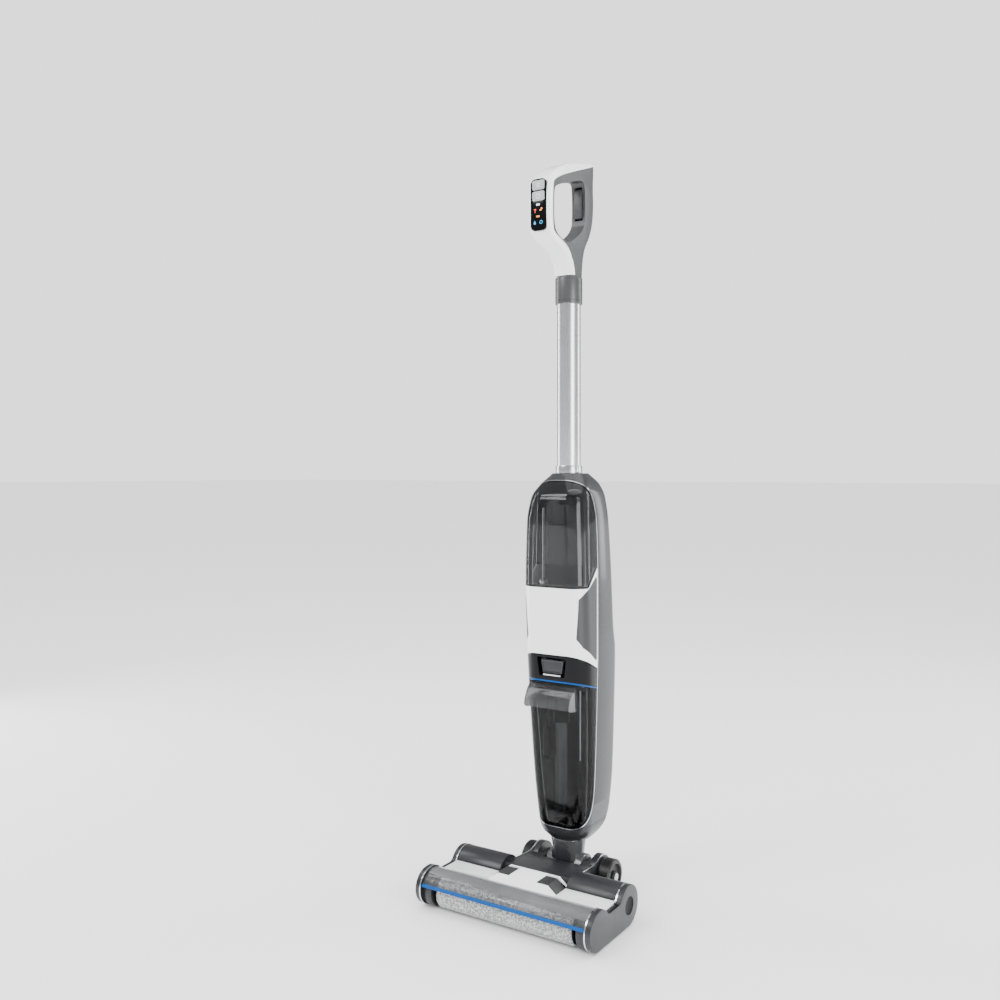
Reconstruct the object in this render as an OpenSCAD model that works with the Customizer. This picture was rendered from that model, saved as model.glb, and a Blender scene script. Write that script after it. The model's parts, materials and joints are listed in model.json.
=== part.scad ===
// Upright cordless wet and dry floor washer: a roller floor head, a tilting and swivelling
// neck, a body with a clean tank over a dirty tank, and a tube with a loop handle.
// X is the width, +Y points to the back and +Z is up. The roller and wheels stand on Z = 0,
// and the origin is under the centre of the machine.

/* [Overall] */
// Width of the floor head over its end plates
head_w = 292; // [262:1:320]
// Depth from the front of the floor head to the back of the body
total_depth = 274; // [266:1:290]
// Height of the body's lower rim above the floor
body_z = 78; // [76:1:84]

/* [Body] */
// Widest width of the body
body_w = 110; // [104:1:120]
// Distance from the body's axis to its front, at its deepest
body_front = 60; // [57:1:66]
// Distance from the body's axis to its back, at its deepest
body_rear = 71; // [68:1:80]
// Radius of the body's front corners
front_corner = 28; // [20:1:30]
// Radius of the body's rear corners
rear_corner = 24; // [18:1:26]
// Distance from the body's axis forward to the seam between tanks and housing
seam_forward = 8; // [4:1:10]
// Wall of the rear housing and the covers
shell_wall = 2.6; // [2:0.1:3]
// Clearance between neighbouring shells
gap = 0.4; // [0.3:0.05:0.6]

/* [Tanks] */
// Height of the dirty tank, from its floor to the blue ring
dirty_h = 225; // [200:1:250]
// Height of the dark panel with the latch, from the blue ring to the white cover
bezel_h = 36; // [34:1:44]
// Height of the white cover between the tanks, at its front
band_h = 112; // [100:1:130]
// Height of the clean tank, from the white cover to its lid
clean_h = 138; // [120:1:160]
// Height of the clean tank's lid
lid_h = 36; // [32:1:40]
// Wall of both tanks
tank_wall = 2.2; // [1.8:0.1:2.6]
// Thickness of the blue ring
ring_t = 2.4; // [2:0.1:4]
// Radius of the separator tube in the dirty tank
separator_r = 9.5; // [7:0.5:9.5]
// Travel of the float on its rod
float_travel = 14; // [8:1:18]

/* [Handle] */
// Length of the tube that shows between its two collars
tube_show = 252; // [200:1:300]
// Outer radius of the tube
tube_r = 18.5; // [17:0.5:19]
// Wall of the tube
tube_wall = 1.5; // [1.2:0.1:2]
// Height of the upper collar
collar_h = 42; // [36:1:50]
// Width of the white front shell of the handle
handle_w = 36; // [32:1:38]
// Width of the grey grip of the handle
grip_w = 24; // [22:1:28]
// Width of the control panel
panel_w = 27; // [24:1:28]
// Travel of the panel's buttons
button_travel = 1.2; // [0.8:0.1:1.5]

/* [Floor head] */
// Radius of the roller over its pile
roller_r = 25; // [23:0.5:25.5]
// Length of the pile
pile_l = 226; // [200:1:230]
// Thickness of each end plate
plate_t = 9.6; // [9:0.1:11]
// Radius of the clear window's inner face, about the roller's axis
window_r = 27; // [26.5:0.1:27.5]
// Wall of the window
window_wall = 2.2; // [1.8:0.1:2.4]
// Radius of the cowl over the brush motor
cowl_r = 29; // [27:0.5:29.5]
// Travel of the window's latches
latch_travel = 4; // [3:0.5:5]

/* [Wheels and neck] */
// Radius of each rear wheel
wheel_r = 26; // [24:0.5:27]
// Width of each rear wheel
wheel_w = 20; // [16:1:22]
// Width of the central chassis between the wheels
chassis_w = 114; // [112:1:120]
// Radius of the wheels' stub axles
axle_r = 4; // [3:0.5:5]
// Height of the tilt axis
tilt_z = 31; // [30:1:33]
// Radius of the tilt pins
tilt_pin_r = 6; // [5:0.5:7]
// Radius of the neck's swivel bearing
swivel_r = 20; // [18:0.5:21]
// Radial clearance of the running fits
run_fit = 0.06; // [0.03:0.01:0.1]

/* [Hidden] */

// Colours
white = [0.93, 0.93, 0.94];
mid_grey = [0.42, 0.42, 0.44];
dark_grey = [0.26, 0.27, 0.29];
near_black = [0.07, 0.07, 0.08];
smoke = [0.45, 0.46, 0.48, 0.45];
silver = [0.78, 0.79, 0.80];
bright_blue = [0.04, 0.50, 0.86];
pile_grey = [0.66, 0.66, 0.67];

// Circle resolutions: true circles, and the corners of the lofted body
round_fn = 64;
loft_fn = 24;
$fn = round_fn;

// Heights up the body
floor_z = body_z + 19;
ring_z = floor_z + dirty_h;
band_z0 = ring_z + bezel_h;
band_z1 = band_z0 + band_h;
lid_z = band_z1 + clean_h;
top_z = lid_z + lid_h;
split_z = body_z + 26;
tube_z0 = lid_z + 14;

// Places along the depth
front_y = -total_depth / 2;
axis_y = total_depth / 2 - body_rear;
seam_y = axis_y - seam_forward;
roller_y = front_y + window_r + window_wall + 1.8;
cowl_y = roller_y + 87;
wheel_y = axis_y + 6;

// Heights and places in the floor head
ground_gap = 2;
roller_z = roller_r;
cowl_z = cowl_r + ground_gap;
plate_x = head_w / 2 - plate_t;
side_x = plate_x - gap;
belt_x = plate_x + 1.4;
belt_w = 5;

// Slopes of the ring line and of the white cover's lower edge, front to back
ring_slope = -0.26;
band_slope = -0.47;

// The body's loft: height, then how far its side, front and back are drawn in there
levels = [
    [body_z, 21, 36, 41],
    [body_z + 8, 15, 29, 25],
    [body_z + 20, 11, 26, 12],
    [body_z + 47, 8.5, 23, 3.5],
    [body_z + 102, 5, 18.5, 0.5],
    [ring_z - 2, 1, 8, 0],
    [band_z0 + 17, 0, 5, 1.5],
    [band_z1, 0, 0, 10.5],
    [lid_z - 42, 2, 0.5, 19.5],
    [lid_z, 6.5, 8, 24],
    [lid_z + lid_h * 0.55, 14, 24, 29],
    [top_z, 27, 38, 41],
];

// ---- Helpers ----

// A side outline, drawn as Y across and Z up, given the width w about X = x
module side_prism(w, x = 0) {
    translate([x, 0, 0]) rotate([90, 0, 90]) translate([0, 0, -w / 2])
        linear_extrude(w) children();
}

// A front outline, drawn as X across and Z up, from y0 back to y1
module front_prism(y0, y1) {
    translate([0, y1, 0]) rotate([90, 0, 0]) linear_extrude(y1 - y0) children();
}

// A rod along X from x0 to x1 at a height and depth
module rod_x(x0, x1, y, z, r) {
    translate([x0, y, z]) rotate([0, 90, 0]) cylinder(h = x1 - x0, r = r);
}

// Both of a mirrored pair
module both_sides() {
    children();
    mirror([1, 0, 0]) children();
}

// One rounded section of the body, drawn in by g
module body_section(side, front, rear, g) {
    half_w = body_w / 2 - side - g;
    front_d = body_front - front - g;
    rear_d = body_rear - rear - g;
    most = min(half_w, (front_d + rear_d) / 2) - 0.5;
    fr = min(front_corner - g, most);
    rr = min(rear_corner - g, most);
    hull() {
        for (s = [-1, 1]) {
            translate([s * (half_w - fr), axis_y - front_d + fr]) circle(fr, $fn = loft_fn);
            translate([s * (half_w - rr), axis_y + rear_d - rr]) circle(rr, $fn = loft_fn);
        }
    }
}

// The whole body as one smooth solid, drawn in by g on every side
module body_loft(g = 0) {
    last = len(levels) - 1;
    slice = 0.02;
    hull() {
        for (i = [0:last]) {
            z = i == 0 ? levels[i][0] + g : i == last ? levels[i][0] - g - slice : levels[i][0];
            translate([0, 0, z]) linear_extrude(slice)
                body_section(levels[i][1], levels[i][2], levels[i][3], g);
        }
    }
}

// Everything in front of the housing: tanks, white cover and latch panel
module front_zone() {
    polygon([
        [-80, floor_z - 1], [seam_y - 28, floor_z + 1.5], [seam_y - 16, floor_z + 9],
        [seam_y - 7, floor_z + 23], [seam_y - 1.5, floor_z + 43], [seam_y, floor_z + 68],
        [seam_y, lid_z - 48], [seam_y - 2, lid_z - 18], [seam_y - 8, lid_z + 6],
        [seam_y - 20, lid_z + 23], [seam_y - 38, lid_z + 31], [-80, lid_z + 35],
    ]);
}

// The strip of the side view between two sloping lines
module between(z0, slope0, z1, slope1) {
    mid = seam_y - 26;
    y0 = -90;
    y1 = 160;
    polygon([
        [y0, z0 + slope0 * (y0 - mid)], [y1, z0 + slope0 * (y1 - mid)],
        [y1, z1 + slope1 * (y1 - mid)], [y0, z1 + slope1 * (y0 - mid)],
    ]);
}

// Below the stepped top edge of the white cover, which rises towards the seam
module below_band_top(rise = 0) {
    z = band_z1 + rise;
    polygon([
        [-90, 0], [160, 0], [160, z + 30], [seam_y + 0.5, z + 30],
        [seam_y - 28, z], [-90, z],
    ]);
}

module band_zone() {
    difference() {
        below_band_top();
        between(0, 0, band_z0, band_slope);
    }
}

module bezel_zone() {
    between(ring_z + ring_t / 2 + gap, ring_slope, band_z0 - gap, band_slope);
}

module ring_zone() {
    between(ring_z - ring_t / 2, ring_slope, ring_z + ring_t / 2, ring_slope);
}

module dirty_zone() {
    intersection() {
        front_zone();
        between(0, 0, ring_z - ring_t / 2, ring_slope);
    }
}

module above_band() {
    difference() {
        front_zone();
        below_band_top(gap);
    }
}

module clean_zone() {
    intersection() {
        above_band();
        between(0, 0, lid_z, 0);
    }
}

module lid_zone() {
    intersection() {
        above_band();
        between(lid_z, 0, top_z + 20, 0);
    }
}

// The part of the body's solid that lies in a side-view zone
module body_part(g = 0) {
    intersection() {
        body_loft(g);
        side_prism(body_w + 20) children();
    }
}

// ---- Floor head ----

// Outline of the end plates: a front lobe, a rear lobe and a dip between them
module plate_outline() {
    lobe = 26.5;
    front_lobe_y = front_y + lobe;
    offset(r = -10) offset(r = 10) union() {
        hull() {
            translate([front_lobe_y, lobe + ground_gap]) circle(lobe);
            translate([front_lobe_y + 5, lobe + ground_gap + 1]) circle(lobe - 0.5);
        }
        translate([cowl_y, cowl_z]) circle(cowl_r);
        translate([front_lobe_y, ground_gap]) square([cowl_y - front_lobe_y, 40]);
    }
}

// A pie-shaped cutter about a point, from angle a0 to a1, for short arcs
module wedge(y, z, a0, a1) {
    far = 80;
    steps = 6;
    points = [for (i = [0:steps]) let (a = a0 + (a1 - a0) * i / steps)
        [y + far * cos(a), z + far * sin(a)]];
    polygon(concat([[y, z]], points));
}

// A curved wall about a point in the side view
module arc_wall(y, z, r, wall, a0, a1) {
    intersection() {
        difference() {
            translate([y, z]) circle(r + wall);
            translate([y, z]) circle(r);
        }
        wedge(y, z, a0, a1);
    }
}

pulley_x1 = belt_x + belt_w;
bearing_r = 8;
bearing_w = 7;
block_w = 15;
block_x = side_x - block_w;
block_r = window_r - gap;
motor_body_r = 20;
shaft_r = 4;
underside_t = 2.6;
cowl_l = side_x - chassis_w / 2 - gap;

module head_chassis() {
    rear_wall_r = roller_r + 1.8;
    color(dark_grey) difference() {
        union() {
            // Rear wall of the roller bay and floor
            side_prism(2 * side_x) union() {
                arc_wall(roller_y, roller_z, rear_wall_r, 2.5, -38, 8);
                translate([roller_y + 22, ground_gap + 1])
                    square([cowl_y - roller_y - 22, underside_t]);
            }
            // Troughs under the cowls, on both sides of the central chassis
            both_sides() side_prism(cowl_l, side_x - cowl_l / 2)
                arc_wall(cowl_y, cowl_z, cowl_r - 3.4, 3, 180, 358);
            // End blocks that hold the roller's bearings
            both_sides() side_prism(block_w, side_x - block_w / 2) union() {
                translate([roller_y, roller_z]) circle(block_r - 1.5);
                translate([roller_y, ground_gap + 1]) square([30, 38]);
            }
            // Tongue under the central chassis
            translate([-chassis_w / 2, cowl_y, ground_gap + 1])
                cube([chassis_w, wheel_y + 18 - cowl_y, underside_t]);
        }
        // Bearing seats and the shafts' way through to the belt
        both_sides() {
            rod_x(block_x - 1, block_x + bearing_w, roller_y, roller_z, bearing_r);
            rod_x(block_x, side_x + 1, roller_y, roller_z, shaft_r + 1);
        }
        // Suction mouth behind the roller
        translate([-20, roller_y + 20, ground_gap + 6]) cube([40, 16, 12]);
        // Screw holes
        head_screw_places() translate([0, 0, -1]) cylinder(h = 8, r = screw_r + 0.1);
    }
}

screw_r = 1.5;
screw_head_r = 3.1;
arm_in = 32;

module head_screw_places() {
    for (s = [-1, 1], y = [cowl_y + 5, wheel_y + 12])
        translate([s * (arm_in + 7), y, ground_gap + 1]) children();
}

module head_screws() {
    color(silver) head_screw_places() {
        cylinder(h = 9, r = screw_r);
        translate([0, 0, -1.4]) cylinder(h = 1.4, r = screw_head_r);
    }
}

deck_top = 54;
deck_front = cowl_y - 16;
deck_rear = axis_y - 32;
tilt_y = axis_y;
arm_z = ground_gap + 1 + underside_t;
pin_end = chassis_w / 2 - 13;
axle_start = chassis_w / 2 - 12;

module rear_chassis() {
    wall = 2.8;
    ear_r = 27.5;
    ear_w = 11;
    color(dark_grey) difference() {
        union() {
            difference() {
                // Deck from the white cover back to the neck
                side_prism(chassis_w) polygon([
                    [deck_front, arm_z], [deck_front, deck_top - 8], [deck_front + 4, deck_top],
                    [deck_rear - 20, deck_top - 4], [deck_rear, deck_top - 6], [deck_rear, arm_z],
                ]);
                side_prism(chassis_w - 2 * wall) polygon([
                    [deck_front + wall, arm_z - 1], [deck_front + wall, deck_top - 10],
                    [deck_rear - 20, deck_top - 4 - wall], [deck_rear - wall, deck_top - 9],
                    [deck_rear - wall, arm_z - 1],
                ]);
            }
            // Arms beside the neck
            both_sides() side_prism(chassis_w / 2 - arm_in, (chassis_w / 2 + arm_in) / 2)
                polygon([
                    [deck_rear - wall, arm_z], [deck_rear - wall, deck_top - 8],
                    [axis_y - 12, deck_top - 9], [wheel_y + 14, deck_top - 12],
                    [wheel_y + 22, arm_z + 14], [wheel_y + 18, arm_z],
                ]);
            // Ears over the inner sides of the wheels
            both_sides() intersection() {
                rod_x(chassis_w / 2 - ear_w, chassis_w / 2, wheel_y - 2, wheel_r + 3, ear_r);
                translate([0, 0, arm_z]) cube([head_w, total_depth, 100]);
            }
            // Bosses for the front screws
            for (s = [-1, 1]) translate([s * (arm_in + 7), cowl_y + 5, arm_z])
                cylinder(h = 12, r = 4.5);
        }
        both_sides() {
            rod_x(arm_in - 1, pin_end, tilt_y, tilt_z, tilt_pin_r);
            rod_x(axle_start, chassis_w / 2 + 1, wheel_y, wheel_r, axle_r);
        }
        head_screw_places() cylinder(h = 13, r = screw_r + 0.1);
    }
}

module tilt_pins() {
    color(silver) both_sides()
        rod_x(arm_in - 12, pin_end, tilt_y, tilt_z, tilt_pin_r);
}

module wheel_axles() {
    wheel_out = chassis_w / 2 + 1 + wheel_w;
    color(silver) both_sides() {
        rod_x(axle_start, wheel_out + 0.5, wheel_y, wheel_r, axle_r);
        rod_x(wheel_out + 0.5, wheel_out + 2, wheel_y, wheel_r, axle_r + 2);
    }
}

module wheel(s) {
    x0 = chassis_w / 2 + 1;
    tread = 3;
    mirror([s < 0 ? 1 : 0, 0, 0]) translate([x0, wheel_y, wheel_r]) rotate([0, 90, 0])
        rotate_extrude() polygon([
            [axle_r + run_fit, 0], [wheel_r - tread, 0], [wheel_r, tread],
            [wheel_r, wheel_w - tread], [wheel_r - tread, wheel_w],
            [wheel_r - 6, wheel_w], [wheel_r - 8, wheel_w - 5],
            [axle_r + 5, wheel_w - 5], [axle_r + 4, wheel_w], [axle_r + run_fit, wheel_w],
        ]);
}

module wheel_left() { color(near_black) wheel(-1); }
module wheel_right() { color(near_black) wheel(1); }

hump_half = 42;
hump_foot = 56;
hump_z = 55;
cover_z = 44;
cover_front = roller_y + 17.6;
cover_rear = cowl_y - 24.5;

// Front view of the white cover's hump, and of the latches that lie over its shoulders
module hump_outline(g) {
    polygon([
        [-hump_foot + g, cover_z - 12], [-hump_foot + g, cover_z], [-hump_half + g, hump_z - g],
        [hump_half - g, hump_z - g], [hump_foot - g, cover_z], [hump_foot - g, cover_z - 12],
    ]);
}

// Side view of the hump, with a sloping front: g draws in the front and the top
module hump_side(g) {
    polygon([
        [cover_front + g, cover_z - 1], [cover_front + g, cover_z + 4 - g],
        [cover_front + 22 + g, hump_z + 1 - g], [deck_front, hump_z + 1 - g],
        [deck_front, cover_z - 1],
    ]);
}

module head_top_cover() {
    wall = 2.4;
    color(white) difference() {
        union() {
            side_prism(2 * side_x) polygon([
                [cover_front, cover_z + 4], [cover_front + 10, cover_z], [cover_rear, cover_z],
                [cover_rear, cover_z - wall], [cover_front + 10, cover_z - wall],
                [cover_front, cover_z + 4 - wall],
            ]);
            difference() {
                intersection() {
                    front_prism(cover_front, deck_front - gap) hump_outline(0);
                    side_prism(head_w) hump_side(0);
                }
                intersection() {
                    front_prism(cover_front, deck_front) hump_outline(wall);
                    side_prism(head_w) hump_side(wall);
                }
            }
        }
        // Slots for the two window latches
        for (s = [-1, 1]) latch_block(s, 0.6, 0, latch_travel + 0.6);
    }
}

latch_y0 = cover_front + 18;
latch_l = 26;
latch_in = 24;

// The box of one window latch: g is added all round, front and rear lengthen the ends
module latch_block(s, g, front, rear) {
    x = s < 0 ? -hump_foot - g : latch_in - g;
    translate([x, latch_y0 - g - front, cover_z - 6 - g])
        cube([hump_foot - latch_in + 2 * g, latch_l + 2 * g + front + rear, 24]);
}

module window_latch(s) {
    difference() {
        intersection() {
            latch_block(s, 0, 0, 0);
            front_prism(latch_y0, latch_y0 + latch_l) hump_outline(-0.6);
        }
        front_prism(latch_y0 - 1, latch_y0 + latch_l + 1) hump_outline(3);
    }
}

module window_latch_left() { color(mid_grey) window_latch(-1); }
module window_latch_right() { color(mid_grey) window_latch(1); }

module rear_cowls() {
    color(dark_grey) both_sides()
        side_prism(cowl_l, side_x - cowl_l / 2) arc_wall(cowl_y, cowl_z, cowl_r - 3, 3, 2, 151);
}

pulley_r = 14;
motor_pulley_r = 9.5;
belt_t = 1.5;

// Side outline of the belt's run, grown by g
module belt_run(g) {
    hull() {
        translate([roller_y, roller_z]) circle(pulley_r + g);
        translate([cowl_y, cowl_z]) circle(motor_pulley_r + g);
    }
}

module end_plate(belt) {
    difference() {
        side_prism(plate_t, head_w / 2 - plate_t / 2) plate_outline();
        // Round dimple over the motor's end
        rod_x(head_w / 2 - 1.2, head_w / 2 + 1, cowl_y, cowl_z, 13);
        if (belt) side_prism(belt_w + 3, belt_x + belt_w / 2) belt_run(belt_t + 1);
    }
}

module end_plate_left() { color(dark_grey) mirror([1, 0, 0]) end_plate(false); }
module end_plate_right() { color(dark_grey) end_plate(true); }

window_front_z = 34;
strip_h = 4.4;

module brush_window() {
    strip_angle = 180 - asin((window_front_z - roller_z) / (window_r + window_wall));
    color(smoke) side_prism(2 * side_x)
        arc_wall(roller_y, roller_z, window_r, window_wall, 57, strip_angle);
}

module blue_strip() {
    color(bright_blue) intersection() {
        side_prism(2 * side_x) arc_wall(roller_y, roller_z, window_r + window_wall, 1.5, 130, 185);
        translate([-head_w, front_y - 5, window_front_z]) cube([2 * head_w, 40, strip_h]);
    }
}

core_x = pile_l / 2;
roller_shaft_x = block_x + bearing_w;

module roller_core() {
    core_r = roller_r - 6;
    color(mid_grey) union() {
        difference() {
            rod_x(-core_x, core_x, roller_y, roller_z, core_r);
            rod_x(-core_x + 6, core_x - 6, roller_y, roller_z, core_r - 2.5);
        }
        // End flanges and the shafts that turn in the bearings
        both_sides() {
            rod_x(core_x, core_x + 2, roller_y, roller_z, core_r + 3);
            rod_x(core_x, roller_shaft_x, roller_y, roller_z, shaft_r);
        }
        rod_x(core_x, pulley_x1, roller_y, roller_z, shaft_r);
    }
}

module roller_pile() {
    color(pile_grey) difference() {
        rod_x(-core_x, core_x, roller_y, roller_z, roller_r);
        rod_x(-core_x - 1, core_x + 1, roller_y, roller_z, roller_r - 6);
    }
}

module roller_bearings() {
    color(silver) both_sides() difference() {
        rod_x(block_x, block_x + bearing_w, roller_y, roller_z, bearing_r);
        rod_x(block_x - 1, block_x + bearing_w + 1, roller_y, roller_z, shaft_r + run_fit);
    }
}

module pulley(y, z, r, bore) {
    difference() {
        rod_x(belt_x, pulley_x1, y, z, r);
        rod_x(belt_x - 1, pulley_x1 + 1, y, z, bore);
    }
}

module roller_pulley() { color(mid_grey) pulley(roller_y, roller_z, pulley_r, shaft_r); }
module motor_pulley() {
    color(mid_grey) pulley(cowl_y, cowl_z, motor_pulley_r, shaft_r + run_fit);
}

module drive_belt() {
    color(near_black) side_prism(belt_w - 1, belt_x + belt_w / 2) difference() {
        belt_run(belt_t + 0.3);
        belt_run(0.3);
    }
}

module brush_motor() {
    color(silver) union() {
        rod_x(chassis_w / 2 + 8, side_x - 14, cowl_y, cowl_z, motor_body_r);
        rod_x(side_x - 14, side_x - 10, cowl_y, cowl_z, motor_body_r - 8);
        rod_x(side_x - 10, pulley_x1, cowl_y, cowl_z, shaft_r);
    }
}

module scraper_bar() {
    bar_r = roller_r + 1;
    color(near_black) side_prism(pile_l - 4)
        arc_wall(roller_y, roller_z, bar_r, 3, 13, 20);
}

module spray_bar() {
    color(near_black) difference() {
        rod_x(-pile_l / 2, pile_l / 2, roller_y + 34, roller_z + 9, 3);
        rod_x(-pile_l / 2 + 3, pile_l / 2 - 3, roller_y + 34, roller_z + 9, 1.8);
    }
}

// ---- Neck ----

neck_top = body_z - gap;
stub_top = split_z - 0.6;
ring_h = 4;
ring_step = 1.2;
hose_r = 13;

module neck_tube() {
    low = tilt_z + 15;
    knuckle_w = 2 * (arm_in - 1.2);
    color(mid_grey) difference() {
        union() {
            rod_x(-knuckle_w / 2, knuckle_w / 2, tilt_y, tilt_z, 22);
            translate([0, axis_y, low]) cylinder(h = neck_top - low, r1 = 24, r2 = 28.5);
            translate([0, axis_y, neck_top - 1])
                cylinder(h = stub_top - ring_h - neck_top + 1, r = swivel_r);
            translate([0, axis_y, neck_top - 1])
                cylinder(h = stub_top - neck_top + 1, r = swivel_r - ring_step);
        }
        translate([0, axis_y, tilt_z + 9]) cylinder(h = 100, r = hose_r);
        both_sides()
            rod_x(arm_in - 12.5, arm_in + 1, tilt_y, tilt_z, tilt_pin_r + run_fit);
    }
}

// Dark dome over the front of the tilt joint
module pivot_cover() {
    dome_r = 16;
    dome_z = body_z - 5 - dome_r;
    color(dark_grey) intersection() {
        difference() {
            translate([0, axis_y, tilt_z + 16]) cylinder(h = 60, r = 29.8);
            translate([0, axis_y, tilt_z + 15]) cylinder(h = 80, r = 28.6);
        }
        front_prism(axis_y - 40, axis_y - 10) hull() {
            translate([0, dome_z]) circle(dome_r);
            translate([-dome_r, tilt_z + 16]) square([2 * dome_r, 1]);
        }
    }
}

// Ring that keeps the body on the neck's bearing
module swivel_ring() {
    color(silver) difference() {
        translate([0, axis_y, stub_top - ring_h]) cylinder(h = ring_h, r = swivel_r + 4);
        translate([0, axis_y, stub_top - ring_h - 1])
            cylinder(h = ring_h + 2, r = swivel_r - ring_step);
    }
}

// ---- Body ----

// The housing's side of the seam, at every height
module behind_seam() {
    difference() {
        translate([-90, 0]) square([260, top_z + 40]);
        offset(delta = gap) front_zone();
    }
}

module body_base() {
    color(dark_grey) difference() {
        body_part() intersection() {
            behind_seam();
            translate([-90, 0]) square([260, split_z]);
        }
        translate([0, axis_y, body_z - 1]) cylinder(h = 60, r = swivel_r + run_fit);
        translate([0, axis_y, stub_top - ring_h - gap])
            cylinder(h = 60, r = swivel_r + 4 + gap);
    }
}

jack_z = floor_z + 70;
jack_r = 6;

module rear_housing() {
    color(mid_grey) difference() {
        body_part() intersection() {
            behind_seam();
            translate([-90, split_z + 0.2]) square([260, top_z]);
        }
        // Inside, open to the front, where the spine frame closes it
        intersection() {
            body_loft(shell_wall);
            side_prism(body_w) translate([seam_y - 4, split_z - 5])
                square([200, lid_z - split_z - 5]);
        }
        translate([0, axis_y, tube_z0 - 0.2]) cylinder(h = 100, r = tube_r + 0.1);
        translate([0, axis_y, jack_z]) rotate([-90, 0, 0]) cylinder(h = 100, r = jack_r);
        // Exhaust slots in the back
        for (i = [0:5]) translate([-22, axis_y + 30, ring_z + 8 * i])
            cube([44, 60, 3]);
    }
}

spine_t = 3;
spine_y0 = seam_y + gap + 0.2;

module spine_frame() {
    color(near_black) difference() {
        intersection() {
            body_loft(shell_wall + 0.3);
            translate([-body_w, spine_y0, split_z + 1])
                cube([2 * body_w, spine_t, lid_z - 44 - split_z]);
        }
        translate([-duct_w / 2 - 0.3, spine_y0 - 1, duct_z - 0.3])
            cube([duct_w + 0.6, spine_t + 2, duct_h + 0.6]);
    }
}

// Side outline of the grey panels set into the white cover
module side_panel_outline() {
    offset(r = 4) offset(delta = -4) polygon([
        [seam_y - 44, band_z0 + 36], [seam_y - 44, band_z1 - 16], [seam_y - 36, band_z1 - 7],
        [seam_y - 2, band_z1 + 18], [seam_y - 2, band_z0 - 2], [seam_y - 36, band_z0 + 23],
    ]);
}

panel_depth = 1.4;

module mid_cover() {
    color(white) difference() {
        body_part() intersection() {
            front_zone();
            band_zone();
        }
        body_part(shell_wall + 0.6) offset(delta = -shell_wall) band_zone();
        both_sides() difference() {
            side_prism(body_w, body_w / 2 + 22) offset(delta = 0.3) side_panel_outline();
            body_loft(panel_depth + 0.1);
        }
    }
}

module side_panels() {
    color(mid_grey) both_sides() intersection() {
        difference() {
            body_loft(0);
            body_loft(panel_depth);
        }
        side_prism(body_w, body_w / 2 + 22) side_panel_outline();
    }
}

recess_z0 = ring_z + 12;
recess_z1 = band_z0 + 5;
recess_back = axis_y - body_front + 18;
latch_press = 3;

// Front outline of the latch recess or button: wider at the top
module latch_outline(top_half, bottom_half, g) {
    polygon([
        [-bottom_half + g, recess_z0 + g], [bottom_half - g, recess_z0 + g],
        [top_half - g, recess_z1 - g], [-top_half + g, recess_z1 - g],
    ]);
}

module latch_bezel() {
    color(near_black) difference() {
        body_part() intersection() {
            front_zone();
            bezel_zone();
        }
        difference() {
            body_part(shell_wall) offset(delta = -1.6) bezel_zone();
            translate([-32, -60, 0]) cube([64, recess_back + 2.4 + 60, top_z]);
        }
        front_prism(-60, recess_back) latch_outline(26, 22, 0);
        // Way through the floor for the air that leaves the dirty tank
        translate([0, filter_y, ring_z - 5]) cylinder(h = 12, r = filter_r - 2);
    }
}

module tank_latch_button() {
    front = axis_y - body_front + 7.5;
    color(dark_grey) front_prism(front, recess_back - latch_press - 0.5)
        latch_outline(24, 20, 4);
}

filter_r = 14;
filter_y = seam_y - 17;
filter_z = ring_z + 6;

module air_filter() {
    color(white) difference() {
        translate([0, filter_y, filter_z]) cylinder(h = 15, r = filter_r);
        translate([0, filter_y, filter_z - 1]) cylinder(h = 12, r = filter_r - 5);
    }
}

duct_w = 24;
duct_h = 14;
duct_z = ring_z + 5;

module air_duct() {
    y0 = filter_y + filter_r + 0.4;
    y1 = spine_y0 + spine_t + 3.5;
    color(near_black) difference() {
        translate([-duct_w / 2, y0, duct_z]) cube([duct_w, y1 - y0, duct_h]);
        translate([-duct_w / 2 + 2, y0 - 1, duct_z + 2]) cube([duct_w - 4, y1 - y0 + 2, duct_h - 4]);
    }
}

motor_y = axis_y + 31;
motor_z = ring_z - 22;
motor_h = 62;
fan_shaft_r = 3;

module suction_motor() {
    color(silver) union() {
        translate([0, motor_y, motor_z]) cylinder(h = motor_h, r = 31);
        translate([0, motor_y, motor_z - 10]) cylinder(h = 10, r = 20);
        translate([0, motor_y, motor_z + motor_h]) cylinder(h = 14, r = fan_shaft_r);
    }
}

// Fan wheel: a back plate, a hub and a ring of vanes
module impeller() {
    vanes = 9;
    z = motor_z + motor_h + 2;
    color(near_black) translate([0, motor_y, z]) difference() {
        union() {
            cylinder(h = 2, r = 27);
            cylinder(h = 10, r = 7);
            for (i = [0:vanes - 1]) rotate(i * 360 / vanes)
                translate([5, -0.8, 0]) cube([21, 1.6, 8]);
        }
        translate([0, 0, -1]) cylinder(h = 12, r = fan_shaft_r + run_fit);
    }
}

board_y = spine_y0 + spine_t + 2;
pack_y = board_y + 5;
pack_z = motor_z + motor_h + 20;
pack_h = 124;

// Sixteen cells between two trays: two layers of two rows of four
module battery_pack() {
    cell_r = 9.2;
    cell_h = 60;
    pitch = 2 * cell_r + 0.8;
    color(near_black) union() {
        for (i = [0:3], k = [0:1]) {
            translate([(i - 1.5) * pitch, pack_y + cell_r + 3, pack_z + 2 + k * cell_h])
                cylinder(h = cell_h, r = cell_r);
            translate([(i - 1.5) * pitch, pack_y + 3 * cell_r + 3.8, pack_z + 2 + k * cell_h])
                cylinder(h = cell_h, r = cell_r);
        }
        translate([-38.5, pack_y + 3, pack_z]) cube([77, 4 * cell_r, 4]);
        translate([-38.5, pack_y + 3, pack_z + pack_h - 4]) cube([77, 4 * cell_r, 4]);
    }
}

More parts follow.
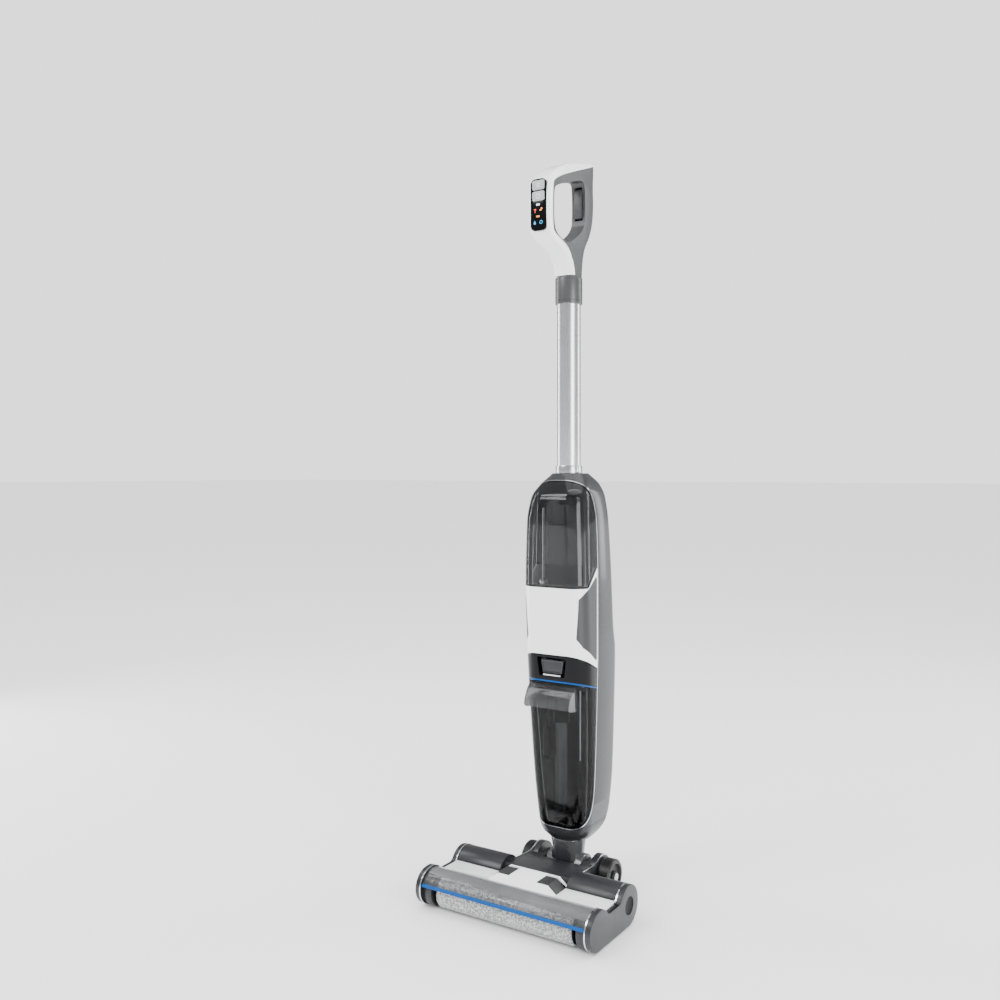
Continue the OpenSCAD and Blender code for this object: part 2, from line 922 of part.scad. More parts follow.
module circuit_board() {
    color([0.05, 0.3, 0.15]) union() {
        translate([-36, board_y, pack_z + 4]) cube([72, 1.6, 108]);
        for (p = [[-22, 20, 14], [4, 34, 20], [-12, 66, 16], [16, 80, 12]])
            translate([p[0], board_y + 1.6, pack_z + 4 + p[1]]) cube([p[2], 2.4, p[2] * 0.7]);
    }
}

module water_pump() {
    x = -24;
    y = seam_y - 24;
    color(silver) union() {
        translate([x, y, band_z0 + 32]) cylinder(h = 44, r = 13);
        translate([x, y, band_z0 + 76]) cylinder(h = 8, r = 7);
        translate([x + 8, y, band_z0 + 84]) cylinder(h = 8, r = 3);
        translate([x - 4, y - 4, band_z0 + 84]) cube([15, 8, 2]);
    }
}

jack_bore_r = 2.75;
jack_depth = 9;
jack_back = axis_y + body_rear - 1.2;

module charging_jack() {
    color(near_black) translate([0, jack_back, jack_z]) rotate([90, 0, 0]) difference() {
        union() {
            cylinder(h = 14, r = jack_r - 0.15);
            translate([0, 0, 3.2]) cylinder(h = 10, r = jack_r + 2);
        }
        translate([0, 0, -1]) cylinder(h = jack_depth + 1, r = jack_bore_r);
    }
}

// ---- Clean tank ----

module clean_tank() {
    color(smoke) difference() {
        body_part() clean_zone();
        body_part(tank_wall) intersection() {
            offset(delta = -tank_wall) above_band();
            between(0, 0, lid_z + 1, 0);
        }
    }
}

module clean_tank_lid() {
    color(smoke) difference() {
        body_part() lid_zone();
        body_part(tank_wall) intersection() {
            offset(delta = -tank_wall) above_band();
            between(lid_z - 1, 0, lid_z + lid_h, 0);
        }
    }
}

cap_r = 13;
cap_x = 16;
cap_y = seam_y - 27;

// Quarter-turn filler cap with a bar to turn it by
module fill_cap() {
    color(near_black) translate([cap_x, cap_y, lid_z - 12]) union() {
        cylinder(h = 10, r = cap_r);
        translate([-3, -cap_r + 4, 10]) cube([6, 2 * cap_r - 8, 5]);
    }
}

tube_x = -20;
pickup_y = seam_y - 36;

// Valve in the tank's floor, with its thin suction tube
module pickup_tube() {
    color(silver) translate([tube_x, pickup_y, band_z1 + 3]) difference() {
        union() {
            cylinder(h = 7, r = 6);
            cylinder(h = clean_h - 20, r = 1.8);
        }
        translate([0, 0, -1]) cylinder(h = clean_h - 18, r = 0.9);
    }
}

// ---- Dirty tank ----

separator_y = seam_y - 15;
separator_wall = 1.5;
grip_half = 40;

// Side outline of the pull lip across the front of the dirty tank
module lip_outline(inner) {
    y = axis_y - body_front + 8;
    z = ring_z;
    reach = 19;
    if (inner) {
        polygon([
            [y - reach + 2.6, z - 37], [y - reach + 6, z - 20], [y - 6, z - 9],
            [y + 18, z - 9], [y + 18, z - 37],
        ]);
    } else {
        polygon([
            [y - reach, z - 35], [y - reach + 3.6, z - 19], [y - 8, z - 6.4], [y + 2, z],
            [y + 18, z - 4], [y + 18, z - 35],
        ]);
    }
}

module dirty_tank() {
    color(smoke) difference() {
        union() {
            body_part() dirty_zone();
            difference() {
                side_prism(2 * grip_half) lip_outline(false);
                side_prism(2 * grip_half - 4.4) lip_outline(true);
            }
        }
        body_part(tank_wall) intersection() {
            offset(delta = -tank_wall) front_zone();
            between(0, 0, ring_z + 10, ring_slope);
        }
    }
}

module blue_ring() {
    color(bright_blue) difference() {
        body_part() intersection() {
            front_zone();
            ring_zone();
        }
        body_part(tank_wall + 1.5) intersection() {
            offset(delta = -tank_wall - 1.5) front_zone();
            between(ring_z - 10, ring_slope, ring_z + 10, ring_slope);
        }
    }
}

lid_t = 7;
float_r = 7;
float_x = -24;
float_y = seam_y - 17;
float_z = ring_z - 116;
float_h = 42;
rod_top = ring_z - 10;
rod_r = 1.5;
rod_stop_r = 3.2;

// Dark plug in the tank's mouth, with the sleeve of the separator and the float's rod
module dirty_tank_lid() {
    plug_z = ring_z - ring_t / 2 - 0.2;
    color(near_black) difference() {
        union() {
            body_part(tank_wall + 0.3) intersection() {
                offset(delta = -tank_wall - 0.3) front_zone();
                between(plug_z - lid_t, ring_slope, plug_z, ring_slope);
            }
            translate([0, separator_y, ring_z - 62]) cylinder(h = 54, r = separator_r + 2.8);
            translate([float_x, float_y, float_z - 6])
                cylinder(h = rod_top - float_z + 6, r = rod_r);
            // Stops below and above the float
            for (z = [float_z - 7, float_z + float_h + float_travel + gap])
                translate([float_x, float_y, z]) cylinder(h = 2, r = rod_stop_r);
        }
        translate([0, separator_y, ring_z - 80]) cylinder(h = 64, r = separator_r + 0.1);
        translate([0, separator_y, ring_z - 20])
            cylinder(h = 60, r = separator_r - separator_wall);
    }
}

module float() {
    color(white) difference() {
        translate([float_x, float_y, float_z]) cylinder(h = float_h, r = float_r);
        translate([float_x, float_y, float_z - 1]) cylinder(h = float_h + 2, r = rod_r + 0.35);
    }
}

module separator_tube() {
    low = floor_z + 37;
    high = ring_z - 18;
    color(smoke) difference() {
        translate([0, separator_y, low]) cylinder(h = high - low, r = separator_r);
        translate([0, separator_y, low - 1])
            cylinder(h = high - low + 2, r = separator_r - separator_wall);
    }
}

// ---- Tube and handle ----

collar_z0 = top_z;
lower_collar_h = 12;
upper_z0 = collar_z0 + lower_collar_h + tube_show;
upper_z1 = upper_z0 + collar_h;

module lower_collar() {
    color(silver) difference() {
        union() {
            translate([0, axis_y, collar_z0 + 0.2]) cylinder(h = lower_collar_h, r = tube_r + 2.4);
            translate([tube_r - 4, axis_y - 12, collar_z0 + 1.2]) cube([7.6, 5, 10]);
        }
        translate([0, axis_y, collar_z0 - 1]) cylinder(h = 30, r = tube_r + 0.1);
    }
}

module handle_tube() {
    color(silver) difference() {
        translate([0, axis_y, tube_z0]) cylinder(h = upper_z1 - 2 - tube_z0, r = tube_r);
        translate([0, axis_y, tube_z0 - 1])
            cylinder(h = upper_z1 - tube_z0 + 4, r = tube_r - tube_wall);
    }
}

module upper_collar() {
    color(mid_grey) difference() {
        translate([0, axis_y, upper_z0]) cylinder(h = collar_h - 0.2, r = tube_r + 2.8);
        translate([0, axis_y, upper_z0 - 1]) cylinder(h = collar_h + 4, r = tube_r + 0.1);
    }
}

// Handle outlines are drawn about the collar's top: Y from the tube's axis, Z from the collar
function at_handle(points) = [for (p = points) [axis_y + p[0], upper_z1 + p[1]]];

loop_front = -92;
handle_top = 193;

// Whole side view of the loop handle
module handle_outline() {
    polygon(at_handle([
        [-20, 0], [-21, 8], [-27, 20], [-40, 31], [-57, 38], [-75, 44], [-87, 53],
        [loop_front, 65], [loop_front, 118], [loop_front + 4, 131], [loop_front + 14, 142],
        [-54, 160], [-12, 177], [46, 190], [59, handle_top], [60, 180], [58, 150], [60, 125],
        [57, 95], [46, 70], [32, 53], [25, 35], [22, 15], [21, 0],
    ]));
}

// Finger room through the loop
module handle_hole() {
    offset(r = 5) offset(delta = -5) polygon(at_handle([
        [-66, 70], [-66, 124], [-58, 131], [-16, 146], [22, 157], [31, 152], [32, 100],
        [27, 79], [-14, 52], [-32, 50], [-56, 57],
    ]));
}

// The white front of the handle: the panel's column, the top and the curved neck
module front_shell_outline() {
    polygon(at_handle([
        [-20, 1.2], [-21, 8], [-27, 20], [-40, 31], [-57, 38], [-75, 44], [-87, 53],
        [loop_front, 65], [loop_front, 118], [loop_front + 4, 131], [loop_front + 14, 142],
        [-54, 160], [-12, 177], [46, 190], [59, handle_top], [58, 187], [46, 182.5], [-3, 165],
        [-48, 148], [-72, 136], [-79, 128], [-79, 64], [-74, 55], [-52, 48.5], [-30, 40],
        [-17, 20], [-13, 1.2],
    ]));
}

panel_z0 = upper_z1 + 48;
panel_z1 = upper_z1 + 134;
panel_y0 = axis_y + loop_front - 0.6;
panel_t = 4;

module rounded_panel(w, z0, z1, r) {
    hull() {
        for (s = [-1, 1], z = [z0 + r, z1 - r]) translate([s * (w / 2 - r), z]) circle(r);
    }
}

module handle_front_shell() {
    color(white) difference() {
        side_prism(handle_w) front_shell_outline();
        front_prism(panel_y0 - 10, panel_y0 + panel_t + 0.2)
            rounded_panel(panel_w + 0.4, panel_z0 + 8, panel_z1 - 0.2, 8);
    }
}

module control_panel() {
    color(near_black) difference() {
        front_prism(panel_y0, panel_y0 + panel_t)
            rounded_panel(panel_w, panel_z0 + 8.2, panel_z1 - 0.4, 8);
        front_prism(panel_y0 - 1, panel_y0 + panel_t + 1) button_outline(mode_z, 0.35);
        front_prism(panel_y0 - 1, panel_y0 + panel_t + 1) button_outline(power_z, 0.35);
    }
}

button_w = 21;
button_h = 14.5;
mode_z = upper_z1 + 124;
power_z = mode_z - button_h - 1.8;

module button_outline(z, g) {
    rounded_panel(button_w + 2 * g, z - button_h / 2 - g, z + button_h / 2 + g, 3);
}

module panel_button(z) {
    front_prism(panel_y0 - 1, panel_y0 + panel_t - button_travel - 0.4) button_outline(z, 0);
}

module mode_button() { color(silver) panel_button(mode_z); }
module power_button() { color(silver) panel_button(power_z); }

pocket_y = axis_y + 44;
trigger_w = 13;
trigger_pivot_y = axis_y + 39;
trigger_pivot_z = upper_z1 + 144;
trigger_pin_r = 2;

module handle_grip() {
    color(mid_grey) difference() {
        union() {
            side_prism(grip_w) difference() {
                handle_outline();
                handle_hole();
                offset(delta = 0.2) front_shell_outline();
            }
            // Spigot inside the tube
            translate([0, axis_y, upper_z1 - 34])
                cylinder(h = 35, r = tube_r - tube_wall - 0.1);
        }
        // Pocket of the trigger
        translate([-trigger_w / 2 - 0.4, axis_y + 20, upper_z1 + 96])
            cube([trigger_w + 0.8, pocket_y - axis_y - 20, 53]);
        rod_x(-trigger_w / 2 - 4, trigger_w / 2 + 4, trigger_pivot_y, trigger_pivot_z,
            trigger_pin_r + run_fit);
    }
}

module trigger() {
    color(near_black) union() {
        side_prism(trigger_w) polygon(at_handle([
            [27, 99], [25.5, 112], [29, 140], [33, 147], [42, 147], [43, 140], [37, 99],
        ]));
        rod_x(-trigger_w / 2 - 3.6, trigger_w / 2 + 3.6, trigger_pivot_y, trigger_pivot_z,
            trigger_pin_r);
    }
}

head_chassis();
rear_chassis();
head_top_cover();
rear_cowls();
end_plate_left();
end_plate_right();
brush_window();
blue_strip();
window_latch_left();
window_latch_right();
roller_core();
roller_pile();
roller_bearings();
roller_pulley();
motor_pulley();
drive_belt();
brush_motor();
scraper_bar();
spray_bar();
wheel_left();
wheel_right();
wheel_axles();
tilt_pins();
head_screws();
neck_tube();
pivot_cover();
swivel_ring();
body_base();
rear_housing();
spine_frame();
mid_cover();
side_panels();
latch_bezel();
tank_latch_button();
suction_motor();
impeller();
battery_pack();
circuit_board();
water_pump();
air_filter();
air_duct();
charging_jack();
clean_tank();
clean_tank_lid();
fill_cap();
pickup_tube();
dirty_tank();
dirty_tank_lid();
blue_ring();
float();
separator_tube();
lower_collar();
handle_tube();
upper_collar();
handle_front_shell();
handle_grip();
control_panel();
mode_button();
power_button();
trigger();
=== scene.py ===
# %% [markdown]
# # A floor washer around a fixed frame
# The working model of this machine was drawn first: every solid, pin and joint is already in
# place. This lesson dresses it. Shapes that were drafted plainly are modelled again with soft
# edges and smooth curves, in the same place, and every surface gets a finish of its own.
# The frame is loaded first, because each new piece rides on one of its moving bodies.

# %% Load the frame
import json
import math

import bmesh
import bpy
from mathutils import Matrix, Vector, noise


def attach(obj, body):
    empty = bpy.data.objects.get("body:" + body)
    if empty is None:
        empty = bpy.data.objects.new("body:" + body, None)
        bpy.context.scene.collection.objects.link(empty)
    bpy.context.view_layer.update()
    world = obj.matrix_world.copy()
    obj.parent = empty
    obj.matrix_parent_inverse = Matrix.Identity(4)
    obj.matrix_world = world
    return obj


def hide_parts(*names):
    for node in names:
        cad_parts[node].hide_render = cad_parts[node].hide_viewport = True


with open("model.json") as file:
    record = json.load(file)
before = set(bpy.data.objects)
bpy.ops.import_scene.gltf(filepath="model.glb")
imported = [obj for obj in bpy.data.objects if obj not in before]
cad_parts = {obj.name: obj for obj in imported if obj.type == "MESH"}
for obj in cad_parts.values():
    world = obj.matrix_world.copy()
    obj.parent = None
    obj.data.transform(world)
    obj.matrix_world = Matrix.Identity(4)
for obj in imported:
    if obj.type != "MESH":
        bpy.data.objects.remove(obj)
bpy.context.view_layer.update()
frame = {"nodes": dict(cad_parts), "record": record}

MM = 0.001
record = frame["record"]
body_of = {node: body for body, nodes in record["behaviour"]["bodies"].items() for node in nodes}
slot_of = {part["node"]: part["material_slot"] for part in record["subparts"]}

# %% [markdown]
# ## The camera
# The machine is seen from its front and right, with the camera level at about the height of the
# clean tank. A level camera keeps upright edges upright, and a small downward shift, instead of
# a tilt, brings the floor head into the frame.

# %% Camera
def linked(name, data):
    """A new object, linked to the scene."""
    thing = bpy.data.objects.new(name, data)
    bpy.context.scene.collection.objects.link(thing)
    return thing


VIEW_TURN = math.radians(33.3)
camera_data = bpy.data.cameras.new("camera")
camera_data.lens = 36.13
camera_data.sensor_width = 36
camera_data.shift_y = -0.028
camera = linked("camera", camera_data)
camera.location = (0.774, -1.309, 0.646)
camera.rotation_euler = (math.pi / 2, 0, VIEW_TURN)
bpy.context.scene.camera = camera
print("camera at", tuple(camera.location))

# %% [markdown]
# ## Finishes
# Shader maths reads best as plain expressions. A `Signal` wraps one output socket, so that
# `fibres * 0.5 - tufts * 0.8` adds the Math nodes by itself. A `Finish` holds one material, and
# its `add` method makes any other node from its type, its settings and what goes into its
# sockets.

# %% Signals and finishes
class Signal:
    """One number that varies over a surface."""

    def __init__(self, finish, socket):
        self.finish, self.socket = finish, socket

    def _math(self, operation, left, right):
        node = self.finish.add("ShaderNodeMath", {"operation": operation}, {0: left, 1: right})
        return Signal(self.finish, node.outputs[0])

    def __add__(self, other):
        return self._math("ADD", self, other)

    def __sub__(self, other):
        return self._math("SUBTRACT", self, other)

    def __mul__(self, other):
        return self._math("MULTIPLY", self, other)


class Finish:
    """A procedural material built on one Principled shader."""

    def __init__(self, name, **even):
        self.material = bpy.data.materials.new(name)
        self.material.use_nodes = True
        self.tree = self.material.node_tree
        self.shader = self.tree.nodes["Principled BSDF"]
        for socket, value in even.items():
            self.set(socket.replace("_", " "), value)

    def add(self, kind, settings=None, inputs=None):
        node = self.tree.nodes.new(kind)
        for name, value in (settings or {}).items():
            if name == "stops":
                ramp = node.color_ramp
                while len(ramp.elements) < len(value):
                    ramp.elements.new(0.5)
                for element, (place, shade) in zip(ramp.elements, value):
                    element.position, element.color = place, (shade, shade, shade, 1)
            else:
                setattr(node, name, value)
        for socket, value in (inputs or {}).items():
            self.plug(node.inputs[socket], value)
        return node

    def plug(self, socket, value):
        if isinstance(value, Signal):
            value = value.socket
        if isinstance(value, bpy.types.NodeSocket):
            self.tree.links.new(value, socket)
        else:
            socket.default_value = value

    def set(self, socket, value):
        if isinstance(value, tuple) and len(value) == 3:
            value = (*value, 1)
        self.plug(self.shader.inputs[socket], value)

    def place(self, stretch=(1, 1, 1)):
        """Object coordinates in metres, stretched to run a pattern along an axis."""
        coordinates = self.add("ShaderNodeTexCoord").outputs["Object"]
        mapping = self.add("ShaderNodeMapping", {"vector_type": "POINT"},
                           {"Vector": coordinates, "Scale": stretch})
        return mapping.outputs["Vector"]

    def cloud(self, scale, detail=3, stretch=(1, 1, 1)):
        node = self.add("ShaderNodeTexNoise", {},
                        {"Vector": self.place(stretch), "Scale": scale, "Detail": detail})
        return Signal(self, node.outputs["Fac"])

    def cells(self, scale, stretch=(1, 1, 1)):
        node = self.add("ShaderNodeTexVoronoi", {}, {"Vector": self.place(stretch), "Scale": scale})
        return Signal(self, node.outputs["Distance"])

    def ramp(self, signal, *stops):
        node = self.add("ShaderNodeValToRGB", {"stops": stops}, {"Fac": signal})
        return Signal(self, node.outputs["Color"])

    def blend(self, signal, first, second):
        node = self.add("ShaderNodeMix", {"data_type": "RGBA"},
                        {0: signal, 6: (*first, 1), 7: (*second, 1)})
        return node.outputs[2]

    def colours(self, signal, first, second, socket="Base Color"):
        self.set(socket, self.blend(signal, first, second))

    def emboss(self, height, depth_mm, strength=1.0):
        node = self.add("ShaderNodeBump", {},
                        {"Height": height, "Distance": depth_mm * MM, "Strength": strength})
        self.set("Normal", node.outputs["Normal"])


def shade(colour, factor):
    return tuple(min(1.0, part * factor) for part in colour)


# %% [markdown]
# Most of the machine is injection-moulded plastic. Up close it is never one flat colour: the
# pigment drifts a little, handling leaves the gloss uneven, and the mould's spark texture
# breaks the reflection into fine grain. One recipe makes them all, with each colour's own
# gloss, grain and metal flake.

# %% Moulded plastics
def moulded(name, colour, gloss, grain_mm=0.9, depth_mm=0.02, drift=0.05, **even):
    finish = Finish(name, **even)
    pigment = finish.ramp(finish.cloud(9, 4), (0.35, 0), (0.65, 1))
    finish.colours(pigment, shade(colour, 1 - drift), shade(colour, 1 + drift))
    handling = finish.ramp(finish.cloud(28, 5, (1, 1, 0.35)), (0.42, 0), (0.7, 1))
    finish.set("Roughness", handling * 0.09 + gloss)
    finish.emboss(finish.cloud(1 / (grain_mm * MM), 2), depth_mm)
    return finish.material


WHITE = moulded("white_gloss_shell", (0.88, 0.885, 0.895), 0.2, 2.2, 0.006, 0.012, Coat_Weight=0.3,
                Coat_Roughness=0.06)
HOUSING = moulded("housing_metallic_grey", (0.042, 0.043, 0.0465), 0.27, 0.7, 0.01, 0.06,
                  Metallic=0.45, Coat_Weight=0.3, Coat_Roughness=0.1)
HEAD_GREY = moulded("head_dark_grey", (0.017, 0.018, 0.021), 0.3, 0.8, 0.016, 0.07,
                    Specular_IOR_Level=0.45)
PANEL_GREY = moulded("side_panel_satin_grey", (0.036, 0.0365, 0.039), 0.36, 0.5, 0.012, 0.05,
                     Metallic=0.3)
COLLAR_GREY = moulded("collar_brushed_grey", (0.085, 0.086, 0.09), 0.3, 0.6, 0.004, 0.05,
                      Metallic=0.5)
BASE_GREY = moulded("base_deep_grey", (0.026, 0.027, 0.03), 0.26, 0.7, 0.01, 0.06, Metallic=0.3,
                    Coat_Weight=0.2)
GRIP_GREY = moulded("grip_soft_grey", (0.052, 0.053, 0.057), 0.36, 0.8, 0.018, 0.06, Metallic=0.3)
TRIGGER_GREY = moulded("trigger_soft_grey", (0.04, 0.04, 0.045), 0.45, 0.6, 0.02, 0.06)
NECK_GREY = moulded("neck_pearl_grey", (0.1, 0.101, 0.107), 0.2, 0.6, 0.008, 0.05, Metallic=0.5,
                    Coat_Weight=0.3)
BLACK_GLOSS = moulded("black_gloss_trim", (0.003, 0.003, 0.004), 0.07, 1.6, 0.003, 0.2,
                      Specular_IOR_Level=0.16)
BLACK_INNER = moulded("black_inner_plastic", (0.006, 0.006, 0.007), 0.5, 0.7, 0.02, 0.15,
                      Specular_IOR_Level=0.12)
# Painted light: a pale grey for the wings that stand in for the brightness seen through the tanks
PAINTED_LIGHT_WING_GREY = moulded("inner_wing_painted_light_grey", (0.1, 0.102, 0.106), 0.4, 0.7, 0.02, 0.1)
SLEEVE_GREY = moulded("separator_frosted_grey", (0.11, 0.113, 0.117), 0.16, 1.2, 0.008, 0.08,
                      Coat_Weight=0.5)
BLUE = moulded("blue_trim", (0.0, 0.06, 0.24), 0.4, 1.4, 0.004, 0.03, Specular_IOR_Level=0.2)
BUTTON = moulded("button_silver_grey", (0.4, 0.41, 0.42), 0.42, 0.5, 0.02, 0.05, Metallic=0.25)
BOARD_GREEN = moulded("circuit_board_green", (0.01, 0.1, 0.035), 0.35, 1.2, 0.03, 0.2)
PAPER = moulded("filter_paper", (0.7, 0.68, 0.62), 0.85, 1.5, 0.15, 0.06)
print("plastics ready")

# %% [markdown]
# The pole is a drawn aluminium tube with a satin anodised skin: fine lines run along its
# length, so the noise is squeezed across and stretched along it. The pins and bearings are
# turned steel, whose lines run round them. The bright rims are thin plated trim, and the same
# bright silver makes the painted highlights: ribbons along the seam and along the deck's edges.

# %% Metals and rubber
def metal(name, colour, gloss, stretch, depth_mm=0.01, **even):
    finish = Finish(name, Metallic=1.0, **even)
    lines = finish.cloud(900, 3, stretch)
    finish.colours(finish.cloud(14, 3), shade(colour, 0.93), shade(colour, 1.04))
    finish.set("Roughness", lines * 0.14 + gloss)
    finish.emboss(lines, depth_mm)
    return finish.material


TUBE_SILVER = metal("pole_satin_silver", (0.74, 0.75, 0.77), 0.2, (1, 1, 0.02), 0.004)
RIM_AND_PAINTED_HIGHLIGHT_SILVER = metal("bright_rim_and_painted_highlight_silver", (0.8, 0.81, 0.83), 0.14, (1, 1, 1), 0.004)
STEEL = metal("turned_steel", (0.6, 0.6, 0.61), 0.22, (0.05, 1, 1))
MOTOR_CAN = metal("motor_can_aluminium", (0.62, 0.62, 0.63), 0.3, (1, 1, 0.05))

rubber = Finish("soft_black_rubber", Sheen_Weight=0.05, Sheen_Roughness=0.4)
dust = rubber.ramp(rubber.cloud(40, 5), (0.5, 0), (0.8, 1))
rubber.colours(dust, (0.006, 0.006, 0.007), (0.018, 0.018, 0.019))
rubber.set("Roughness", dust * 0.15 + 0.42)
rubber.emboss(rubber.cloud(700, 3), 0.05)
RUBBER = rubber.material
print("metals and rubber ready")

# %% [markdown]
# The roller wears a microfibre sleeve: thousands of short grey and white tufts, twisted
# together. Cells make the tufts, noise mixes light and dark fibres between them, and a deep bump
# lifts them. Sheen gives the soft edge that real fibres catch.

# %% Microfibre pile
pile = Finish("microfibre_pile", Roughness=0.95, Sheen_Weight=0.5, Sheen_Roughness=0.5)
tufts = pile.cells(330)
fibres = pile.cloud(1500, 4)
specks = pile.ramp(pile.cloud(330, 5), (0.4, 0), (0.5, 0.4), (0.6, 1))
pile.colours(specks * 0.7 + fibres * 0.3, (0.07, 0.072, 0.077), (0.6, 0.605, 0.61))
pile.emboss(fibres * 0.5 - tufts * 0.8, 1.6, 0.9)
PILE = pile.material

# %% [markdown]
# The tanks and the roller window are clear moulded plastic with a smoky tint. Each wall lets
# most of the light straight through and shows a gloss that grows towards grazing angles, which
# is how the eye reads a thin clear shell. A Mix Shader between a tinted Transparent shader and
# a dark glossy one, with Fresnel as its factor, does that cheaply and lets lamps light what is
# inside.

# %% Smoky clear plastic
def clear_plastic(name, tint, body_colour, cover, gloss, mirror):
    finish = Finish(name, IOR=mirror)
    haze = finish.ramp(finish.cloud(22, 4, (1, 1, 0.3)), (0.4, 0), (0.75, 1))
    finish.colours(haze, body_colour, shade(body_colour, 1.3))
    finish.set("Roughness", haze * 0.04 + gloss)
    fresnel = Signal(finish, finish.add("ShaderNodeFresnel", {}, {"IOR": 1.5}).outputs[0])
    through = finish.add("ShaderNodeBsdfTransparent", {}, {"Color": (*tint, 1)}).outputs[0]
    factor = finish.add("ShaderNodeMath", {"operation": "ADD", "use_clamp": True},
                        {0: fresnel * 0.9, 1: haze * 0.03 + cover})
    mix = finish.add("ShaderNodeMixShader", {},
                     {0: factor.outputs[0], 1: through, 2: finish.shader.outputs[0]})
    finish.tree.links.new(mix.outputs[0], finish.tree.nodes["Material Output"].inputs["Surface"])
    return finish.material


SMOKE = clear_plastic("smoky_tank", (0.72, 0.725, 0.73), (0.006, 0.0063, 0.0066), 0.04, 0.03, 2.1)
LIGHT_SMOKE = clear_plastic("light_smoky_tank", (0.9, 0.905, 0.91), (0.03, 0.031, 0.033), 0.07,
                            0.03, 2.6)
CLEAR = clear_plastic("clear_pull_lip", (0.94, 0.945, 0.95), (0.22, 0.225, 0.23), 0.05, 0.04, 1.9)
WINDOW = clear_plastic("clear_roller_window", (0.95, 0.955, 0.96), (0.22, 0.225, 0.23), 0.08, 0.06,
                       2.1)
print("clear plastics ready")

FINISH_OF_SLOT = {
    "dark_shell": HEAD_GREY, "white_shell": WHITE, "smoke_clear": SMOKE, "blue_trim": BLUE,
    "grey_shell": HOUSING, "black_inner": BLACK_INNER, "pile_fabric": PILE, "steel": STEEL,
    "rubber": RUBBER, "motor_case": MOTOR_CAN, "tyre": RUBBER, "neck_finish": NECK_GREY,
    "black_gloss": BLACK_GLOSS, "circuit": BOARD_GREEN, "filter_paper": PAPER,
    "tube_metal": TUBE_SILVER, "button_grey": BUTTON,
}

# %% [markdown]
# ## Making pieces
# All new shapes are drafted in millimetres in a bmesh and scaled to metres at the end. `keep`
# closes that step for every piece: it merges doubles, turns faces outwards, smooths what is
# round, keeps creases sharp, and sets the piece on the body that carries the node it stands for.

# %% Keep a finished piece
MERGE_KEPT, MERGE_DRAFT, MERGE_LATHE, MERGE_CUT = 0.004, 0.003, 0.002, 0.01
pieces_made = {}


def mesh_of(shape, name):
    """A bmesh's final mesh; the bmesh is freed."""
    mesh = bpy.data.meshes.new(name)
    shape.to_mesh(mesh)
    shape.free()
    return mesh


def keep(shape, name, finish, node=None, body=None, crease=32):
    bmesh.ops.remove_doubles(shape, verts=shape.verts, dist=MERGE_KEPT)
    bmesh.ops.recalc_face_normals(shape, faces=shape.faces)
    bmesh.ops.scale(shape, vec=(MM, MM, MM), verts=shape.verts)
    mesh = mesh_of(shape, name)
    mesh.shade_smooth()
    mesh.set_sharp_from_angle(angle=math.radians(crease))
    mesh.materials.append(finish)
    piece = linked(name, mesh)
    if node:
        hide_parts(node)
    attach(piece, body or body_of[node])
    pieces_made[name] = len(mesh.polygons)
    return piece


def soften(shape, width, segments=3, above=30, edges=None):
    """Bevels the edges that are sharper than an angle, in degrees."""
    limit = math.radians(above)
    sharp = edges or [e for e in shape.edges if len(e.link_faces) == 2
                      and e.calc_face_angle(0) > limit]
    bmesh.ops.bevel(shape, geom=sharp, offset=width, offset_type="OFFSET", segments=segments,
                    profile=0.5, affect="EDGES", clamp_overlap=True, material=-1)


# %% [markdown]
# Many drafted nodes already have the right shape, but with knife edges that no mould makes and
# no light catches. `refine` copies such a node's triangles, merges them, dissolves the flat
# ones into whole faces, and bevels what is left sharp. The node itself is never changed.

# %% Refine a drafted node
FLAT_LIMIT = math.radians(0.4)


def drafted(node):
    """A copy of a node's triangles, in millimetres."""
    shape = bmesh.new()
    shape.from_mesh(frame["nodes"][node].data)
    bmesh.ops.scale(shape, vec=(1 / MM,) * 3, verts=shape.verts)
    bmesh.ops.remove_doubles(shape, verts=shape.verts, dist=MERGE_DRAFT)
    return shape


def whole_faces(shape):
    bmesh.ops.dissolve_limit(shape, angle_limit=FLAT_LIMIT, verts=shape.verts, edges=shape.edges)
    return shape


def refine(node, finish, width, segments, above):
    shape = whole_faces(drafted(node))
    soften(shape, width, segments, above)
    keep(shape, node + "_soft", finish, node)


# %% [markdown]
# Side views are drawn as outlines in depth and height. Cutting corners off a coarse outline
# again and again (Chaikin's way) turns it into a smooth curve, and moving each point along its
# mitre gives an even offset, for walls and gaps.

# %% Outlines in the side view
def rounded(points, times=3, closed=False):
    for _ in range(times):
        ends = [] if closed else [points[0]]
        pairs = list(zip(points, points[1:] + points[:1] if closed else points[1:]))
        cut = []
        for (y0, z0), (y1, z1) in pairs:
            cut += [(y0 * 0.75 + y1 * 0.25, z0 * 0.75 + z1 * 0.25),
                    (y0 * 0.25 + y1 * 0.75, z0 * 0.25 + z1 * 0.75)]
        points = cut if closed else ends + cut[1:-1] + [points[-1]]
    return points


def filleted(points, radius, steps=5):
    """A closed outline whose corners are turned into arcs of one radius."""
    arcs = []
    for before, here, after in zip(points[-1:] + points[:-1], points, points[1:] + points[:1]):
        here, into, out = Vector(here), Vector(before) - Vector(here), Vector(after) - Vector(here)
        half = into.angle(out) / 2
        reach = min(radius / math.tan(half), into.length * 0.49, out.length * 0.49)
        start, end = here + into.normalized() * reach, here + out.normalized() * reach
        for step in range(steps + 1):
            t = step / steps
            arcs.append(tuple(start * (1 - t) ** 2 + here * 2 * t * (1 - t) + end * t * t))
    return arcs


def area_of(points):
    return sum(y0 * z1 - y1 * z0 for (y0, z0), (y1, z1) in zip(points, points[1:] + points[:1])) / 2


